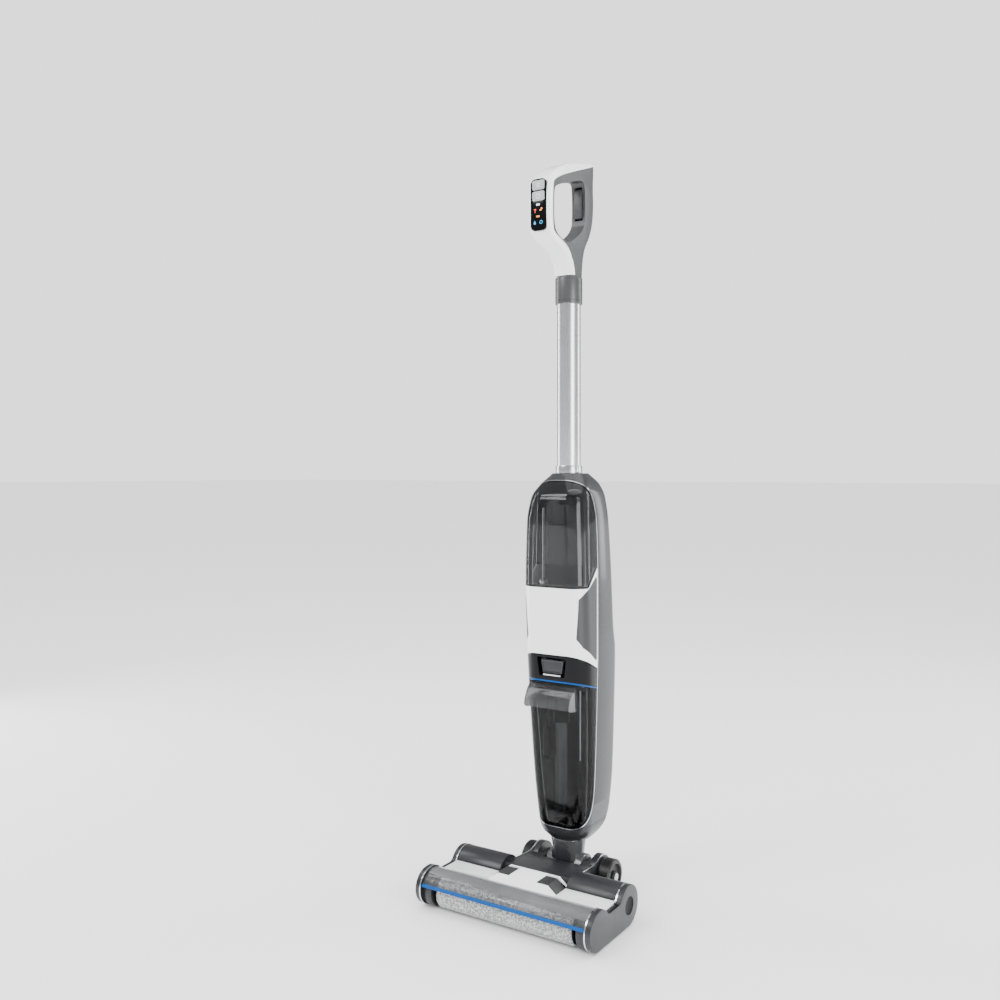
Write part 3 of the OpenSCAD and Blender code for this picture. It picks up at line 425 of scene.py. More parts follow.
def shifted(points, distance):
    """A closed outline moved outwards by a distance, or inwards by a negative one."""
    turn = 1 if area_of(points) > 0 else -1
    moved = []
    for before, here, after in zip(points[-1:] + points[:-1], points, points[1:] + points[:1]):
        normals = []
        for (y0, z0), (y1, z1) in ((before, here), (here, after)):
            length = math.hypot(y1 - y0, z1 - z0) or 1
            normals.append((turn * (z1 - z0) / length, -turn * (y1 - y0) / length))
        (a, b), (c, d) = normals
        spread = max(0.35, 1 + a * c + b * d)
        moved.append((here[0] + distance * (a + c) / spread, here[1] + distance * (b + d) / spread))
    return moved


def extruded(corners, travel):
    """A closed outline in space, carried along a vector into a solid."""
    shape = bmesh.new()
    face = shape.faces.new([shape.verts.new(corner) for corner in corners])
    side = bmesh.ops.extrude_face_region(shape, geom=[face])
    moved = [v for v in side["geom"] if isinstance(v, bmesh.types.BMVert)]
    bmesh.ops.translate(shape, vec=travel, verts=moved)
    bmesh.ops.recalc_face_normals(shape, faces=shape.faces)
    return shape


def prism(points, x0, x1):
    """An outline in depth and height, extruded from x0 to x1."""
    return extruded([(x0, y, z) for y, z in points], (x1 - x0, 0, 0))


def front_prism(points, y0, y1):
    """An outline in width and height, extruded from front y0 to back y1."""
    return extruded([(x, y0, z) for x, z in points], (0, y1 - y0, 0))


# %% [markdown]
# Where one solid is cut by another, a Boolean modifier does the work on two throwaway objects
# and the result comes back as a bmesh. Plain flat cuts use `bisect_plane`, which is exact, and
# the open edge is filled again.

# %% Cuts
def combine(shape, tool, operation):
    target, cutter = made = [linked("cutting", mesh_of(part, "cutting")) for part in (shape, tool)]
    cut = target.modifiers.new("cut", "BOOLEAN")
    cut.operation, cut.object, cut.solver = operation, cutter, "EXACT"
    evaluated = target.evaluated_get(bpy.context.evaluated_depsgraph_get())
    result = bmesh.new()
    result.from_mesh(evaluated.to_mesh())
    evaluated.to_mesh_clear()
    for thing in made:
        mesh = thing.data
        bpy.data.objects.remove(thing)
        bpy.data.meshes.remove(mesh)
    bmesh.ops.remove_doubles(result, verts=result.verts, dist=MERGE_CUT)
    bmesh.ops.dissolve_degenerate(result, edges=result.edges, dist=MERGE_CUT)
    return result


def carved(shape, tool):
    return combine(shape, tool, "DIFFERENCE")


def shared(shape, tool):
    return combine(shape, tool, "INTERSECT")


def slice_at(shape, point, normal):
    """Keeps what lies behind a plane and closes the cut."""
    geometry = list(shape.verts) + list(shape.edges) + list(shape.faces)
    bmesh.ops.bisect_plane(shape, geom=geometry, plane_co=point, plane_no=normal, clear_outer=True)
    rim = [e for e in shape.edges if e.is_boundary]
    bmesh.ops.holes_fill(shape, edges=rim, sides=0)
    return shape


UP, ACROSS = (0, 0, 1), (1, 0, 0)


def lathe(profile, centre, axis, steps=64):
    """Spins a profile of (radius, height) pairs about an axis through centre."""
    shape = bmesh.new()
    along = Vector(axis).normalized()
    out = along.orthogonal().normalized()
    ring = [shape.verts.new(Vector(centre) + out * radius + along * height)
            for radius, height in profile]
    edges = [shape.edges.new(pair) for pair in zip(ring, ring[1:])]
    bmesh.ops.spin(shape, geom=ring + edges, cent=centre, axis=along, angle=2 * math.pi,
                   steps=steps, use_merge=True)
    bmesh.ops.remove_doubles(shape, verts=shape.verts, dist=MERGE_LATHE)
    return shape


def rod(radius, low, high, centre, axis, steps=64):
    return lathe([(0, low), (radius, low), (radius, high), (0, high)], centre, axis, steps)


def join(*shapes):
    """Puts several closed shapes into one bmesh."""
    whole = bmesh.new()
    for shape in shapes:
        mesh = mesh_of(shape, "joining")
        whole.from_mesh(mesh)
        bpy.data.meshes.remove(mesh)
    return whole


def mirrored(shape):
    bmesh.ops.scale(shape, vec=(-1, 1, 1), verts=shape.verts)
    bmesh.ops.reverse_faces(shape, faces=shape.faces)
    return shape


print("tools ready")

# %% [markdown]
# ## The body
# Tanks, covers and housing are all cut from one flowing form: a rounded section that swells
# towards the middle of the body and closes to a shoulder at the top. A ring of vertices is laid
# on each section and bridged to the ring below, so neighbours share one surface and every seam
# lies flush. The table gives the height, then how far the sides, the front and the back are
# drawn in there. `SECTION` is the half width and the depths ahead of and behind the pole's axis.

# %% The body's form
AXIS_Y = 66.0
POLE_AXIS = (0, AXIS_Y, 0)
RING_STEP = 7
SECTION = (55.0, 60.0, 71.0)
CORNERS = (28.0, 24.0)
LEVELS = [
    (78, 21, 36, 41), (86, 15, 29, 25), (98, 11, 26, 12), (125, 8.5, 23, 3.5), (180, 5, 18.5, 0.5),
    (320, 1, 8, 0), (368, 0.1, 5.2, 1), (400, 0, 3, 7), (470, 0, 0, 13), (566, 2, 0.5, 20),
    (608, 6.5, 8, 24), (627.8, 14, 24, 29), (644, 27, 38, 41),
]


def eased(heights, values, z):
    """A smooth curve through the table that never overshoots it."""
    gaps = [b - a for a, b in zip(heights, heights[1:])]
    rise = [(b - a) / g for a, b, g in zip(values, values[1:], gaps)]
    slope = [rise[0]]
    for i in range(1, len(rise)):
        product = rise[i - 1] * rise[i]
        slope.append(0 if product <= 0 else product / (rise[i - 1] * 0.5 + rise[i] * 0.5))
    slope.append(rise[-1])
    i = max(0, min(len(gaps) - 1, sum(h <= z for h in heights) - 1))
    t, g = (z - heights[i]) / gaps[i], gaps[i]
    return ((1 + 2 * t) * (1 - t) ** 2 * values[i] + t * (1 - t) ** 2 * g * slope[i]
            + t * t * (3 - 2 * t) * values[i + 1] + t * t * (t - 1) * g * slope[i + 1])


def section(z, inset, arc_steps=14):
    """The body's outline at a height, as width and depth pairs, drawn in by inset."""
    heights = [level[0] for level in LEVELS]
    side, front, rear = (eased(heights, [level[k] for level in LEVELS], z) for k in (1, 2, 3))
    half, ahead, behind = (reach - drawn - inset
                           for reach, drawn in zip(SECTION, (side, front, rear)))
    most = min(half, (ahead + behind) / 2) - 0.5
    corners = []
    for sx, sy, depth, corner in ((1, -1, ahead, 0), (1, 1, behind, 1), (-1, 1, behind, 1),
                                  (-1, -1, ahead, 0)):
        radius = min(CORNERS[corner] - inset, most)
        start = {(1, -1): -90, (1, 1): 0, (-1, 1): 90, (-1, -1): 180}[sx, sy]
        for step in range(arc_steps + 1):
            angle = math.radians(start + 90 * step / arc_steps)
            corners.append((sx * (half - radius) + radius * math.cos(angle),
                            AXIS_Y + sy * (depth - radius) + radius * math.sin(angle)))
    return corners


def body_form(inset=0.0):
    heights = [LEVELS[0][0]]
    for (low, *_), (high, *_) in zip(LEVELS, LEVELS[1:]):
        count = max(2, math.ceil((high - low) / RING_STEP))
        heights += [low + (high - low) * k / count for k in range(1, count + 1)]
    shape = bmesh.new()
    last = None
    for z in heights:
        outline = section(z, inset)
        ring = bmesh.ops.create_circle(shape, cap_ends=False, radius=1,
                                       segments=len(outline))["verts"]
        up = min(max(z, heights[0] + inset), heights[-1] - inset)
        for vertex, (x, y) in zip(ring, outline):
            vertex.co = (x, y, up)
        edges = list({e for v in ring for e in v.link_edges})
        if last:
            bmesh.ops.bridge_loops(shape, edges=last + edges)
        last = edges
    bmesh.ops.holes_fill(shape, edges=[e for e in shape.edges if e.is_boundary], sides=0)
    bmesh.ops.recalc_face_normals(shape, faces=shape.faces)
    return shape


# The seam between the tanks in front and the housing behind, as a side outline
FRONT_ZONE = [(-80, 96)] + rounded(
    [(16, 97), (30, 98.5), (42, 106), (51, 120), (56.5, 140), (58, 165), (58, 560), (56, 590),
     (50, 614), (38, 631), (20, 639), (0, 640)], 3) + [(-80, 643)]
RING_Z, BAND_Z0, BAND_Z1, LID_Z, LINE_Y = 322, 358, 470, 608, 32
RING_SLOPE, BAND_SLOPE = -0.26, -0.47


def tilt(slope, up=1):
    """The normal of a plane that slopes from front to back."""
    return Vector((0, -slope, 1)).normalized() * up


def front_block(inset=0.0):
    """What lies in front of the seam, drawn in by a wall."""
    return shared(body_form(inset), prism(shifted(FRONT_ZONE, -inset), -80, 80))


def between(shape, low, low_slope, high, high_slope):
    slice_at(shape, (0, LINE_Y, high), tilt(high_slope))
    return slice_at(shape, (0, LINE_Y, low), tilt(low_slope, -1))


print("body form:", len(body_form().faces), "faces")

# %% [markdown]
# ### Rear housing and base
# The grey housing is the back half of the form, a thin shell that is open to the front, where
# the spine closes it. Six slots let the exhaust air out at the back, and the charging inlet
# sits in a round hole low down. The base below it is one thick collar round the neck.

# %% Rear housing
GAP, SHELL = 0.4, 2.6
BASE_TOP, JACK_Z = 104, 167
SLOT_COUNT, SLOT_PITCH, SLOT_TALL, SLOT_HALF = 6, 8, 3, 22
behind = shifted(FRONT_ZONE, GAP)
housing = carved(body_form(), prism(behind, -80, 80))
slice_at(housing, (0, 0, BASE_TOP + 0.2), (0, 0, -1))
inside = body_form(SHELL)
slice_at(inside, (0, 54, 0), (0, -1, 0))
slice_at(inside, (0, 0, 602), UP)
housing = carved(housing, inside)
holes = [rod(18.8, 540, 700, POLE_AXIS, UP), rod(6.3, 100, 170, (0, 0, JACK_Z), (0, 1, 0), 40)]
for row in range(SLOT_COUNT):
    low = RING_Z + SLOT_PITCH * row
    high = low + SLOT_TALL
    outline = [(-SLOT_HALF, low), (SLOT_HALF, low), (SLOT_HALF, high), (-SLOT_HALF, high)]
    holes.append(front_prism(rounded(outline, 2, closed=True), 96, 160))
for hole in holes:
    housing = carved(housing, hole)
soften(housing, 0.7, 2, 42)
keep(housing, "housing_shell", HOUSING, "rear_housing")

base = carved(body_form(), prism(behind, -80, 80))
slice_at(base, (0, 0, BASE_TOP), UP)
for radius, low, high in ((20.06, 60, 160), (24.4, 99, 160)):
    base = carved(base, rod(radius, low, high, POLE_AXIS, UP))
soften(base, 0.8, 3, 38)
keep(base, "base_collar", BASE_GREY, "body_base")
print("housing and base made")

# %% [markdown]
# ### Tanks
# Each tank is the form in front of the seam minus the same form drawn in by the wall, so the
# wall is even all round. A clear pull lip, a hooked shelf for the fingers, is cut to sit on the
# dirty tank's front. The clean tank has a lid of its own.

# %% Dirty tank
WALL = 2.2
LIP_HALF, LIP_WALL, LIP_ROUND = 40, 2.5, 7
RING_FACE = RING_Z - 1.2
lip_outer = rounded([(28, RING_Z - 38), (-5, RING_Z - 36), (-2.4, RING_Z - 22), (6, RING_Z - 6.4),
                     (16, RING_Z), (28, RING_Z - 4)], 2)
lip_inner = [(-2.6, RING_Z - 40), (0.4, RING_Z - 21), (8, RING_Z - 9), (26, RING_Z - 9),
             (26, RING_Z - 40)]
lip = prism(lip_outer, -LIP_HALF, LIP_HALF)
lip_ends = [e for e in lip.edges
            if min(abs(v.co.x) for v in e.verts) > LIP_HALF - 1
            and abs(e.verts[0].co.x - e.verts[1].co.x) < 1 and max(v.co.y for v in e.verts) < 22]
soften(lip, LIP_ROUND, 5, edges=lip_ends)
lip = carved(lip, prism(lip_inner, LIP_WALL - LIP_HALF, LIP_HALF - LIP_WALL))
lip = carved(lip, front_block(0.2))
slice_at(lip, (0, LINE_Y, RING_FACE), tilt(RING_SLOPE))
soften(lip, 0.5, 2, 48)
keep(lip, "clear_pull_lip", CLEAR, body=body_of["dirty_tank"])
dirty = front_block()
slice_at(dirty, (0, LINE_Y, RING_FACE), tilt(RING_SLOPE))
dirty = carved(dirty, front_block(WALL))
soften(dirty, 0.6, 2, 48)
keep(dirty, "dirty_tank_shell", SMOKE, "dirty_tank")

# %% Clean tank and its lid
COVER_STEP = [(30, BAND_Z1), (58.5, BAND_Z1 + 30), (160, BAND_Z1 + 30)]
above_cover = [(-90, BAND_Z1), *COVER_STEP, (160, 700), (-90, 700)]


def upper_block(inset):
    """The front block over the stepped edge of the white cover."""
    return shared(front_block(inset), prism(shifted(above_cover, -GAP - inset), -80, 80))


tank = carved(slice_at(upper_block(0), (0, 0, LID_Z), UP), upper_block(WALL))
soften(tank, 0.6, 2, 48)
keep(tank, "clean_tank_shell", LIGHT_SMOKE, "clean_tank")
lid = carved(slice_at(upper_block(0), (0, 0, LID_Z), (0, 0, -1)), upper_block(WALL))
soften(lid, 0.6, 2, 48)
keep(lid, "clean_tank_lid_shell", LIGHT_SMOKE, "clean_tank_lid")

# %% [markdown]
# ### Cover, side panels, latch panel and ring
# The white cover between the tanks has a stepped top edge that climbs to the seam, and a grey
# panel let into each side. The black panel below it holds the latch in a recess that is wider
# at the top, and a thin blue ring closes the dirty tank.

# %% White cover
band_top = [(-90, 0), (160, 0), *reversed(COVER_STEP), (-90, BAND_Z1)]
PANEL_OUTLINE = filleted([(14, 394), (14, 454), (22, 463), (56, 488), (56, 356), (22, 381)], 3.5)


def band_block(inset, cut):
    shape = shared(front_block(inset), prism(shifted(band_top, -cut), -80, 80))
    return slice_at(shape, (0, LINE_Y, BAND_Z0 + cut), tilt(BAND_SLOPE, -1))


def side_skin(top, depth, outline):
    """A thin skin of the body's form within a side outline, on both sides."""
    skin = carved(body_form(top), body_form(depth))
    skins = [shared(skin.copy(), prism(outline, *span)) for span in ((20, 80), (-80, -20))]
    skin.free()
    return join(*skins)


cover = carved(band_block(0, 0), band_block(SHELL + 0.6, SHELL))
soften(cover, 0.7, 3, 42)
cover = carved(cover, side_skin(-0.5, 1.5, shifted(PANEL_OUTLINE, 0.35)))
keep(cover, "white_cover", WHITE, "mid_cover")
panels = side_skin(0.25, 1.4, PANEL_OUTLINE)
keep(panels, "grey_side_panels", PANEL_GREY, "side_panels")

# %% Latch panel and blue ring
RECESS = [(-22, 334), (22, 334), (26, 363), (-26, 363)]
bezel = between(front_block(), RING_Z + 1.6, RING_SLOPE, BAND_Z0 - GAP, BAND_SLOPE)
hollow = between(front_block(SHELL), RING_Z + 3.2, RING_SLOPE, BAND_Z0 - 2, BAND_SLOPE)
hollow = carved(hollow, prism([(-60, 0), (26.4, 0), (26.4, 700), (-60, 700)], -32, 32))
bezel = carved(bezel, hollow)
recess = front_prism(filleted(RECESS, 3), -60, 24)
bezel = carved(bezel, recess)
soften(bezel, 0.7, 3, 42)
keep(bezel, "latch_panel", BLACK_GLOSS, "latch_bezel")

ring = between(front_block(), RING_FACE, RING_SLOPE, RING_Z + 1.2, RING_SLOPE)
ring = carved(ring, between(front_block(WALL + 1.5), RING_Z - 9, RING_SLOPE, RING_Z + 9,
                            RING_SLOPE))
soften(ring, 0.45, 2, 42)
keep(ring, "blue_tank_ring", BLUE, "blue_ring")

# The latch: a grey key with a raised frame and a bright lip under it
key = front_prism(filleted([(-16.5, 338.5), (16.5, 338.5), (20, 359), (-20, 359)], 1.8), 13.5, 20.4)
soften(key, 1.6, 4, 40, [e for e in key.edges if all(v.co.y < 14 for v in e.verts)])
face = [f for f in key.faces if f.calc_center_median().y < 13.6]
bmesh.ops.inset_region(key, faces=face, thickness=2.2, depth=-1.0)
keep(key, "latch_key", HEAD_GREY, "tank_latch_button")
lip_bar = front_prism(filleted([(-15, 335.2), (15, 335.2), (15.6, 337.6), (-15.6, 337.6)], 0.8),
                      12.6, 19)
soften(lip_bar, 0.5, 2, 40)
keep(lip_bar, "latch_bright_lip", RIM_AND_PAINTED_HIGHLIGHT_SILVER, body="tank_latch")

# %% [markdown]
# ### A painted highlight round the seam, and what shows inside the tanks
# A painted highlight runs round the seam: a thin bright silver skin, a little proud of the form,
# between two copies of the seam's outline. Behind the tanks the black spine shows, with pale
# wings at its sides that are painted light, standing in for the brightness seen through the tanks.
# The separator, its sleeve, the float, the probe and the filler cap are refined or spun.

# %% Seam highlight, painted as a bright silver ribbon
seam_highlight = carved(body_form(-0.12), body_form(1.0))
seam_highlight = shared(seam_highlight, prism(shifted(FRONT_ZONE, 1.7), -80, 80))
seam_highlight = carved(seam_highlight, prism(shifted(FRONT_ZONE, 0.5), -80, 80))
keep(seam_highlight, "seam_painted_highlight", RIM_AND_PAINTED_HIGHLIGHT_SILVER, body="body")

# %% Inside the tanks
refine("spine_frame", BLACK_INNER, 0.6, 2, 40)
# The pale wings beside the spine are painted light: they stand in for the brightness seen through
# the clear tanks
PAINTED_LIGHT_WING_Y = (58.05, 58.7)
painted_light_wings = [front_prism(filleted(outline, 4), *PAINTED_LIGHT_WING_Y) for outline in (
    [(27, 476), (50, 490), (50, 588), (27, 560)], [(-50, 476), (-33, 476), (-33, 566), (-50, 588)],
    [(20, 128), (42, 140), (46, 300), (20, 300)])]
keep(join(*painted_light_wings), "spine_wings_painted_light", PAINTED_LIGHT_WING_GREY, body="body")
refine("dirty_tank_lid", BLACK_INNER, 0.5, 2, 40)
refine("separator_tube", SLEEVE_GREY, 0.4, 2, 40)
refine("fill_cap", BLACK_GLOSS, 0.8, 3, 40)
refine("pickup_tube", STEEL, 0.3, 2, 40)
FLOAT_ROD, PROBE = (-24, 41, 0), (34, 41, 0)
float_body = lathe([(1.85, 206), (6, 206), (7, 207), (7, 247), (6, 248), (1.85, 248), (1.85, 206)],
                   FLOAT_ROD, UP, 40)
for low, high in ((212, 213.2), (242, 243.2)):
    groove = lathe([(6.4, low), (8, low), (8, high), (6.4, high), (6.4, low)], FLOAT_ROD, UP, 40)
    float_body = carved(float_body, groove)
keep(float_body, "black_float", BLACK_GLOSS, "float")
probe = lathe([(0, 204), (0.9, 204.4), (1.2, 205.4), (1.2, 312), (0, 312)], PROBE, UP, 20)
keep(probe, "level_probe", STEEL, body=body_of["dirty_tank"])
print("body pieces:", pieces_made)

# %% [markdown]
# ## The handle
# The white shell is one curved ribbon: it rises from the collar in an S, carries the controls
# up its front and runs back over the top. Its side outline is extruded across, then its outer
# corners get a wide round and its inner ones a small one, as a hand would expect. The grey grip
# fills the loop behind it, narrower than the shell and rounded wherever fingers go.

# %% Handle shell
HANDLE_Z = 950


def at_handle(points):
    return [(AXIS_Y + y, HANDLE_Z + z) for y, z in points]


OUTER = rounded(at_handle([
    (-20, 1.2), (-21, 8), (-27, 20), (-40, 31), (-57, 38), (-75, 44), (-87, 53), (-92, 65),
    (-92, 118), (-88, 131), (-78, 142), (-54, 160), (-12, 177), (46, 190), (59, 193)]), 3)
INNER = rounded(at_handle([
    (58, 187), (46, 182.5), (-3, 165), (-48, 148), (-72, 136), (-79, 128), (-79, 64), (-74, 55),
    (-52, 48.5), (-30, 40), (-17, 20), (-13, 1.2)]), 3)


def distance_to(path, y, z):
    best = 1e9
    for (y0, z0), (y1, z1) in zip(path, path[1:]):
        dy, dz = y1 - y0, z1 - z0
        t = max(0, min(1, ((y - y0) * dy + (z - z0) * dz) / (dy * dy + dz * dz or 1)))
        best = min(best, math.hypot(y - y0 - t * dy, z - z0 - t * dz))
    return best


def rim_along(shape, path, half_width, reach=0.05):
    """The side edges of an extruded outline that follow a path."""
    return [e for e in shape.edges
            if all(abs(abs(v.co.x) - half_width) < 0.01
                   and distance_to(path, v.co.y, v.co.z) < reach for v in e.verts)
            and abs(e.verts[0].co.x - e.verts[1].co.x) < 0.01]


SHELL_HALF = 18
shell = prism(OUTER + INNER, -SHELL_HALF, SHELL_HALF)
soften(shell, 4.6, 6, edges=rim_along(shell, OUTER, SHELL_HALF))
soften(shell, 0.9, 2, edges=rim_along(shell, INNER, SHELL_HALF))
for cut_x in (-11, -7.5, -4, 0, 4, 7.5, 11):
    everything = list(shell.verts) + list(shell.edges) + list(shell.faces)
    bmesh.ops.bisect_plane(shell, geom=everything, plane_co=(cut_x, 0, 0), plane_no=ACROSS)
pocket = front_prism(filleted([(-13.7, 1006), (13.7, 1006), (13.7, 1083.8), (-13.7, 1083.8)], 8.2),
                     -40, -22.4)
shell = carved(shell, pocket)


def inward(path, y, z):
    """The direction from the outline into the shell, at the nearest stretch of the outline."""
    start, end = min(zip(path, path[1:]), key=lambda pair: distance_to(pair, y, z))
    return Vector((0, end[1] - start[1], start[0] - end[0])).normalized()


# The neck's front is bowed like the pole below it, and the top tapers towards the back
NECK_TOP, BOW = 1002, 4.6
TAPER_FROM, TAPER, BACK_Y = 1060, 0.33, 125
for vertex in shell.verts:
    x, y, z = vertex.co
    depth = distance_to(OUTER, y, z)
    if z < NECK_TOP and depth < 8:
        fade = min(1, (NECK_TOP - z) / 22) * (1 - depth / 9)
        vertex.co += inward(OUTER, y, z) * fade * BOW * (abs(x) / SHELL_HALF) ** 2.3
    if z > TAPER_FROM:
        vertex.co.x *= 1 - TAPER * max(0, min(1, y / BACK_Y))
keep(shell, "handle_shell", WHITE, "handle_front_shell")

# %% Handle grip
REAR = rounded(at_handle([
    (59, 193), (60, 180), (58, 150), (60, 125), (57, 95), (46, 70), (32, 53), (25, 35), (22, 15),
    (21, 0)]), 3)
LOOP = rounded(at_handle([
    (-66, 70), (-66, 124), (-58, 131), (-16, 146), (22, 157), (31, 152), (32, 100), (27, 79),
    (-14, 52), (-32, 50), (-56, 57)]), 3, closed=True)
GRIP_HALF, GRIP_ROUND = 12, 6.4
beside_shell = reversed(shifted(OUTER + INNER, 0.2)[len(OUTER):])
grip = prism(REAR + at_handle([(-13, 0)]) + list(beside_shell), -GRIP_HALF, GRIP_HALF)
grip = carved(grip, prism(LOOP, -20, 20))
for path in (LOOP + LOOP[:1], REAR):
    soften(grip, GRIP_ROUND, 7, edges=rim_along(grip, path, GRIP_HALF))
trigger_pocket = prism(at_handle([(20, 96), (44, 96), (44, 149), (20, 149)]), -6.9, 6.9)
grip = carved(grip, trigger_pocket)
spigot = rod(16.9, 916, 950.5, POLE_AXIS, UP)
keep(join(grip, spigot), "loop_grip", GRIP_GREY, "handle_grip")
refine("trigger", TRIGGER_GREY, 2.2, 5, 40)

# %% [markdown]
# The controls sit on a gloss black plate: two silver keys, and lamps behind the plate that
# light plain signs. Each sign is a thin raised shape with its own glow.

# %% Controls
refine("control_panel", BLACK_GLOSS, 0.7, 3, 50)
refine("mode_button", BUTTON, 1.1, 4, 50)
refine("power_button", BUTTON, 1.1, 4, 50)
PANEL_Y = -26.6


def lamp_finish(name, colour, glow):
    finish = Finish(name, Emission_Strength=glow, Roughness=0.3)
    finish.colours(finish.cloud(400, 2), shade(colour, 0.5), shade(colour, 0.7))
    finish.colours(finish.cloud(900, 2), shade(colour, 0.8), colour, "Emission Color")
    return finish.material


def sign(name, outlines, finish, body="body", y=PANEL_Y):
    plates = []
    for outline in outlines:
        plate = front_prism(outline, y - 0.14, y + 0.3)
        soften(plate, 0.08, 2, 50)
        plates.append(plate)
    keep(join(*plates), name, finish, body=body)


def bar(x, z, width, height):
    return filleted([(x - width / 2, z - height / 2), (x + width / 2, z - height / 2),
                     (x + width / 2, z + height / 2), (x - width / 2, z + height / 2)],
                    min(width, height) * 0.3, 4)


def disc(x, z, radius, count=20, start=0, sweep=360):
    return [(x + radius * math.cos(math.radians(start + sweep * k / count)),
             z + radius * math.sin(math.radians(start + sweep * k / count))) for k in range(count)]


def arc_band(x, z, radius, wide, start, sweep, count=24):
    turns = [math.radians(start + sweep * k / count) for k in range(count + 1)]
    return ([(x + (radius + wide) * math.cos(t), z + (radius + wide) * math.sin(t)) for t in turns]
            + [(x + radius * math.cos(t), z + radius * math.sin(t)) for t in reversed(turns)])


LAMP_WHITE = lamp_finish("lamp_white", (0.95, 0.95, 0.95), 1.6)
LAMP_RED = lamp_finish("lamp_red", (0.9, 0.09, 0.05), 1.2)
LAMP_ORANGE = lamp_finish("lamp_orange", (1.0, 0.3, 0.04), 1.4)
LAMP_BLUE = lamp_finish("lamp_blue", (0.03, 0.42, 0.75), 1.3)
sign("sign_battery_bar", [bar(-0.6, 1045, 5.8, 2.6)], LAMP_WHITE)
sign("sign_tank_full", [disc(-5.7, 1037.4, 2.6, 3, -90), bar(-5.7, 1034, 1.3, 2)], LAMP_RED)
sign("sign_brush", [disc(5.6, 1038.6, 1.5, 12), bar(3.8, 1036.4, 3.4, 1.8)], LAMP_ORANGE)
sign("sign_mode_bar", [bar(-0.7, 1027.4, 5.6, 2.5)], LAMP_ORANGE)
sign("sign_water_drop", [disc(-6.2, 1017.4, 1.9, 20),
                         [(-7.8, 1018.4), (-4.6, 1018.4), (-6.2, 1021.8)]], LAMP_BLUE)
sign("sign_water_ring", [arc_band(4.7, 1018.3, 1.9, 0.8, 0, 360)], LAMP_BLUE)
MARK = moulded("key_mark_white", (0.8, 0.8, 0.8), 0.35, 0.6, 0.01, 0.03)
sign("mark_power", [arc_band(0, 1057.2, 3.0, 0.8, 120, 300), bar(0, 1060.4, 0.9, 3.4)], MARK,
     "power_key", -27.6)
sign("mark_mode", [arc_band(0, 1074, 2.6, 0.7, 20, 140), arc_band(0, 1074, 2.6, 0.7, 200, 140),
                   disc(0, 1074, 0.9, 12)], MARK, "mode_key", -27.6)
print("handle made")

# %% [markdown]
# ## Pole, collars and neck
# Round parts are spun from a half profile about their axis. The profiles carry what a plain
# cylinder lacks: a rolled lip at the pole's end, a shallow groove and a chamfer on each collar.

# %% Pole and collars
pole = lathe([(17, 622), (18.5, 622), (18.5, 947.6), (18.1, 948), (17.4, 948), (17, 947.6),
              (17, 622)], POLE_AXIS, UP, 96)
keep(pole, "silver_pole", TUBE_SILVER, "handle_tube")
collar = lathe([(18.6, 908), (20.6, 908), (21.3, 908.9), (21.3, 912.4), (20.8, 912.8),
                (20.8, 913.6), (21.3, 914), (21.3, 947.8), (20.8, 949.2), (20.2, 949.8),
                (18.6, 949.8), (18.6, 908)], POLE_AXIS, UP, 96)
keep(collar, "grey_pole_collar", COLLAR_GREY, "upper_collar")
foot = lathe([(18.6, 644.2), (20.5, 644.2), (20.9, 644.8), (20.9, 654.6), (20.2, 656.0),
              (19.4, 656.2), (18.6, 656.2), (18.6, 644.2)], POLE_AXIS, UP, 96)
clip_outline = filleted([(14.5, 645.2), (22.1, 645.2), (22.1, 655.2), (14.5, 655.2)], 1.6)
clip = front_prism(clip_outline, 54, 59)
soften(clip, 0.7, 3, 40)
keep(combine(foot, clip, "UNION"), "pole_foot_collar", TUBE_SILVER, "lower_collar")

# %% Neck
TILT_PIVOT, PIN_BORE_R = (0, AXIS_Y, 31), 6.06
stem = lathe([(0, 44), (24, 44), (24.2, 50), (25.2, 60), (26.8, 70), (28.3, 76.6), (27.9, 77.5),
              (20, 77.6), (20, 99.4), (18.8, 99.5), (18.8, 103.4), (0, 103.4)],
             POLE_AXIS, UP, 80)
knuckle = lathe([(0, -30.8), (20.8, -30.8), (22, -29.6), (22, 29.6), (20.8, 30.8), (0, 30.8)],
                TILT_PIVOT, ACROSS, 72)
neck = combine(stem, knuckle, "UNION")
neck = carved(neck, rod(13, 40, 140, POLE_AXIS, UP, 48))
for side in (-1, 1):
    bore = rod(PIN_BORE_R, side * 19.5, side * 34, TILT_PIVOT, ACROSS, 40)
    neck = carved(neck, bore)
soften(neck, 1.2, 3, 40)
keep(neck, "neck_stem", NECK_GREY, "neck_tube")
refine("pivot_cover", HEAD_GREY, 0.5, 2, 40)
print("pole and neck made")

# %% [markdown]
# ## The floor head
# The head's drafted solids are true to shape, so they are refined: wide bevels where a mould
# has a generous radius, small ones on trims. The end plates get a thin bright rim, a ribbon
# that is drawn from the plate's own edge.

# %% Head shells
refine("head_top_cover", WHITE, 1.1, 3, 28)
refine("rear_chassis", HEAD_GREY, 1.5, 3, 32)
refine("head_chassis", HEAD_GREY, 0.5, 2, 40)
refine("rear_cowls", HEAD_GREY, 0.7, 3, 40)
COWL_Y, COWL_Z, COWL_INNER_R = -19, 31, 28.4
cowl_turns = [math.radians(2 + 149 * k / 32) for k in range(33)]
cowl_face = [(COWL_Y + COWL_INNER_R * math.cos(t), COWL_Z + COWL_INNER_R * math.sin(t))
             for t in cowl_turns]
end_walls = []
for near, far in ((57.8, 59.4), (-59.4, -57.8)):
    wall = prism(cowl_face, near, far)
    soften(wall, 0.3, 2, 50)
    end_walls.append(wall)
keep(join(*end_walls), "cowl_end_walls", HEAD_GREY, body="head")
refine("brush_window", WINDOW, 0.5, 2, 50)
refine("blue_strip", BLUE, 0.35, 2, 40)
refine("window_latch_left", PANEL_GREY, 0.7, 3, 30)
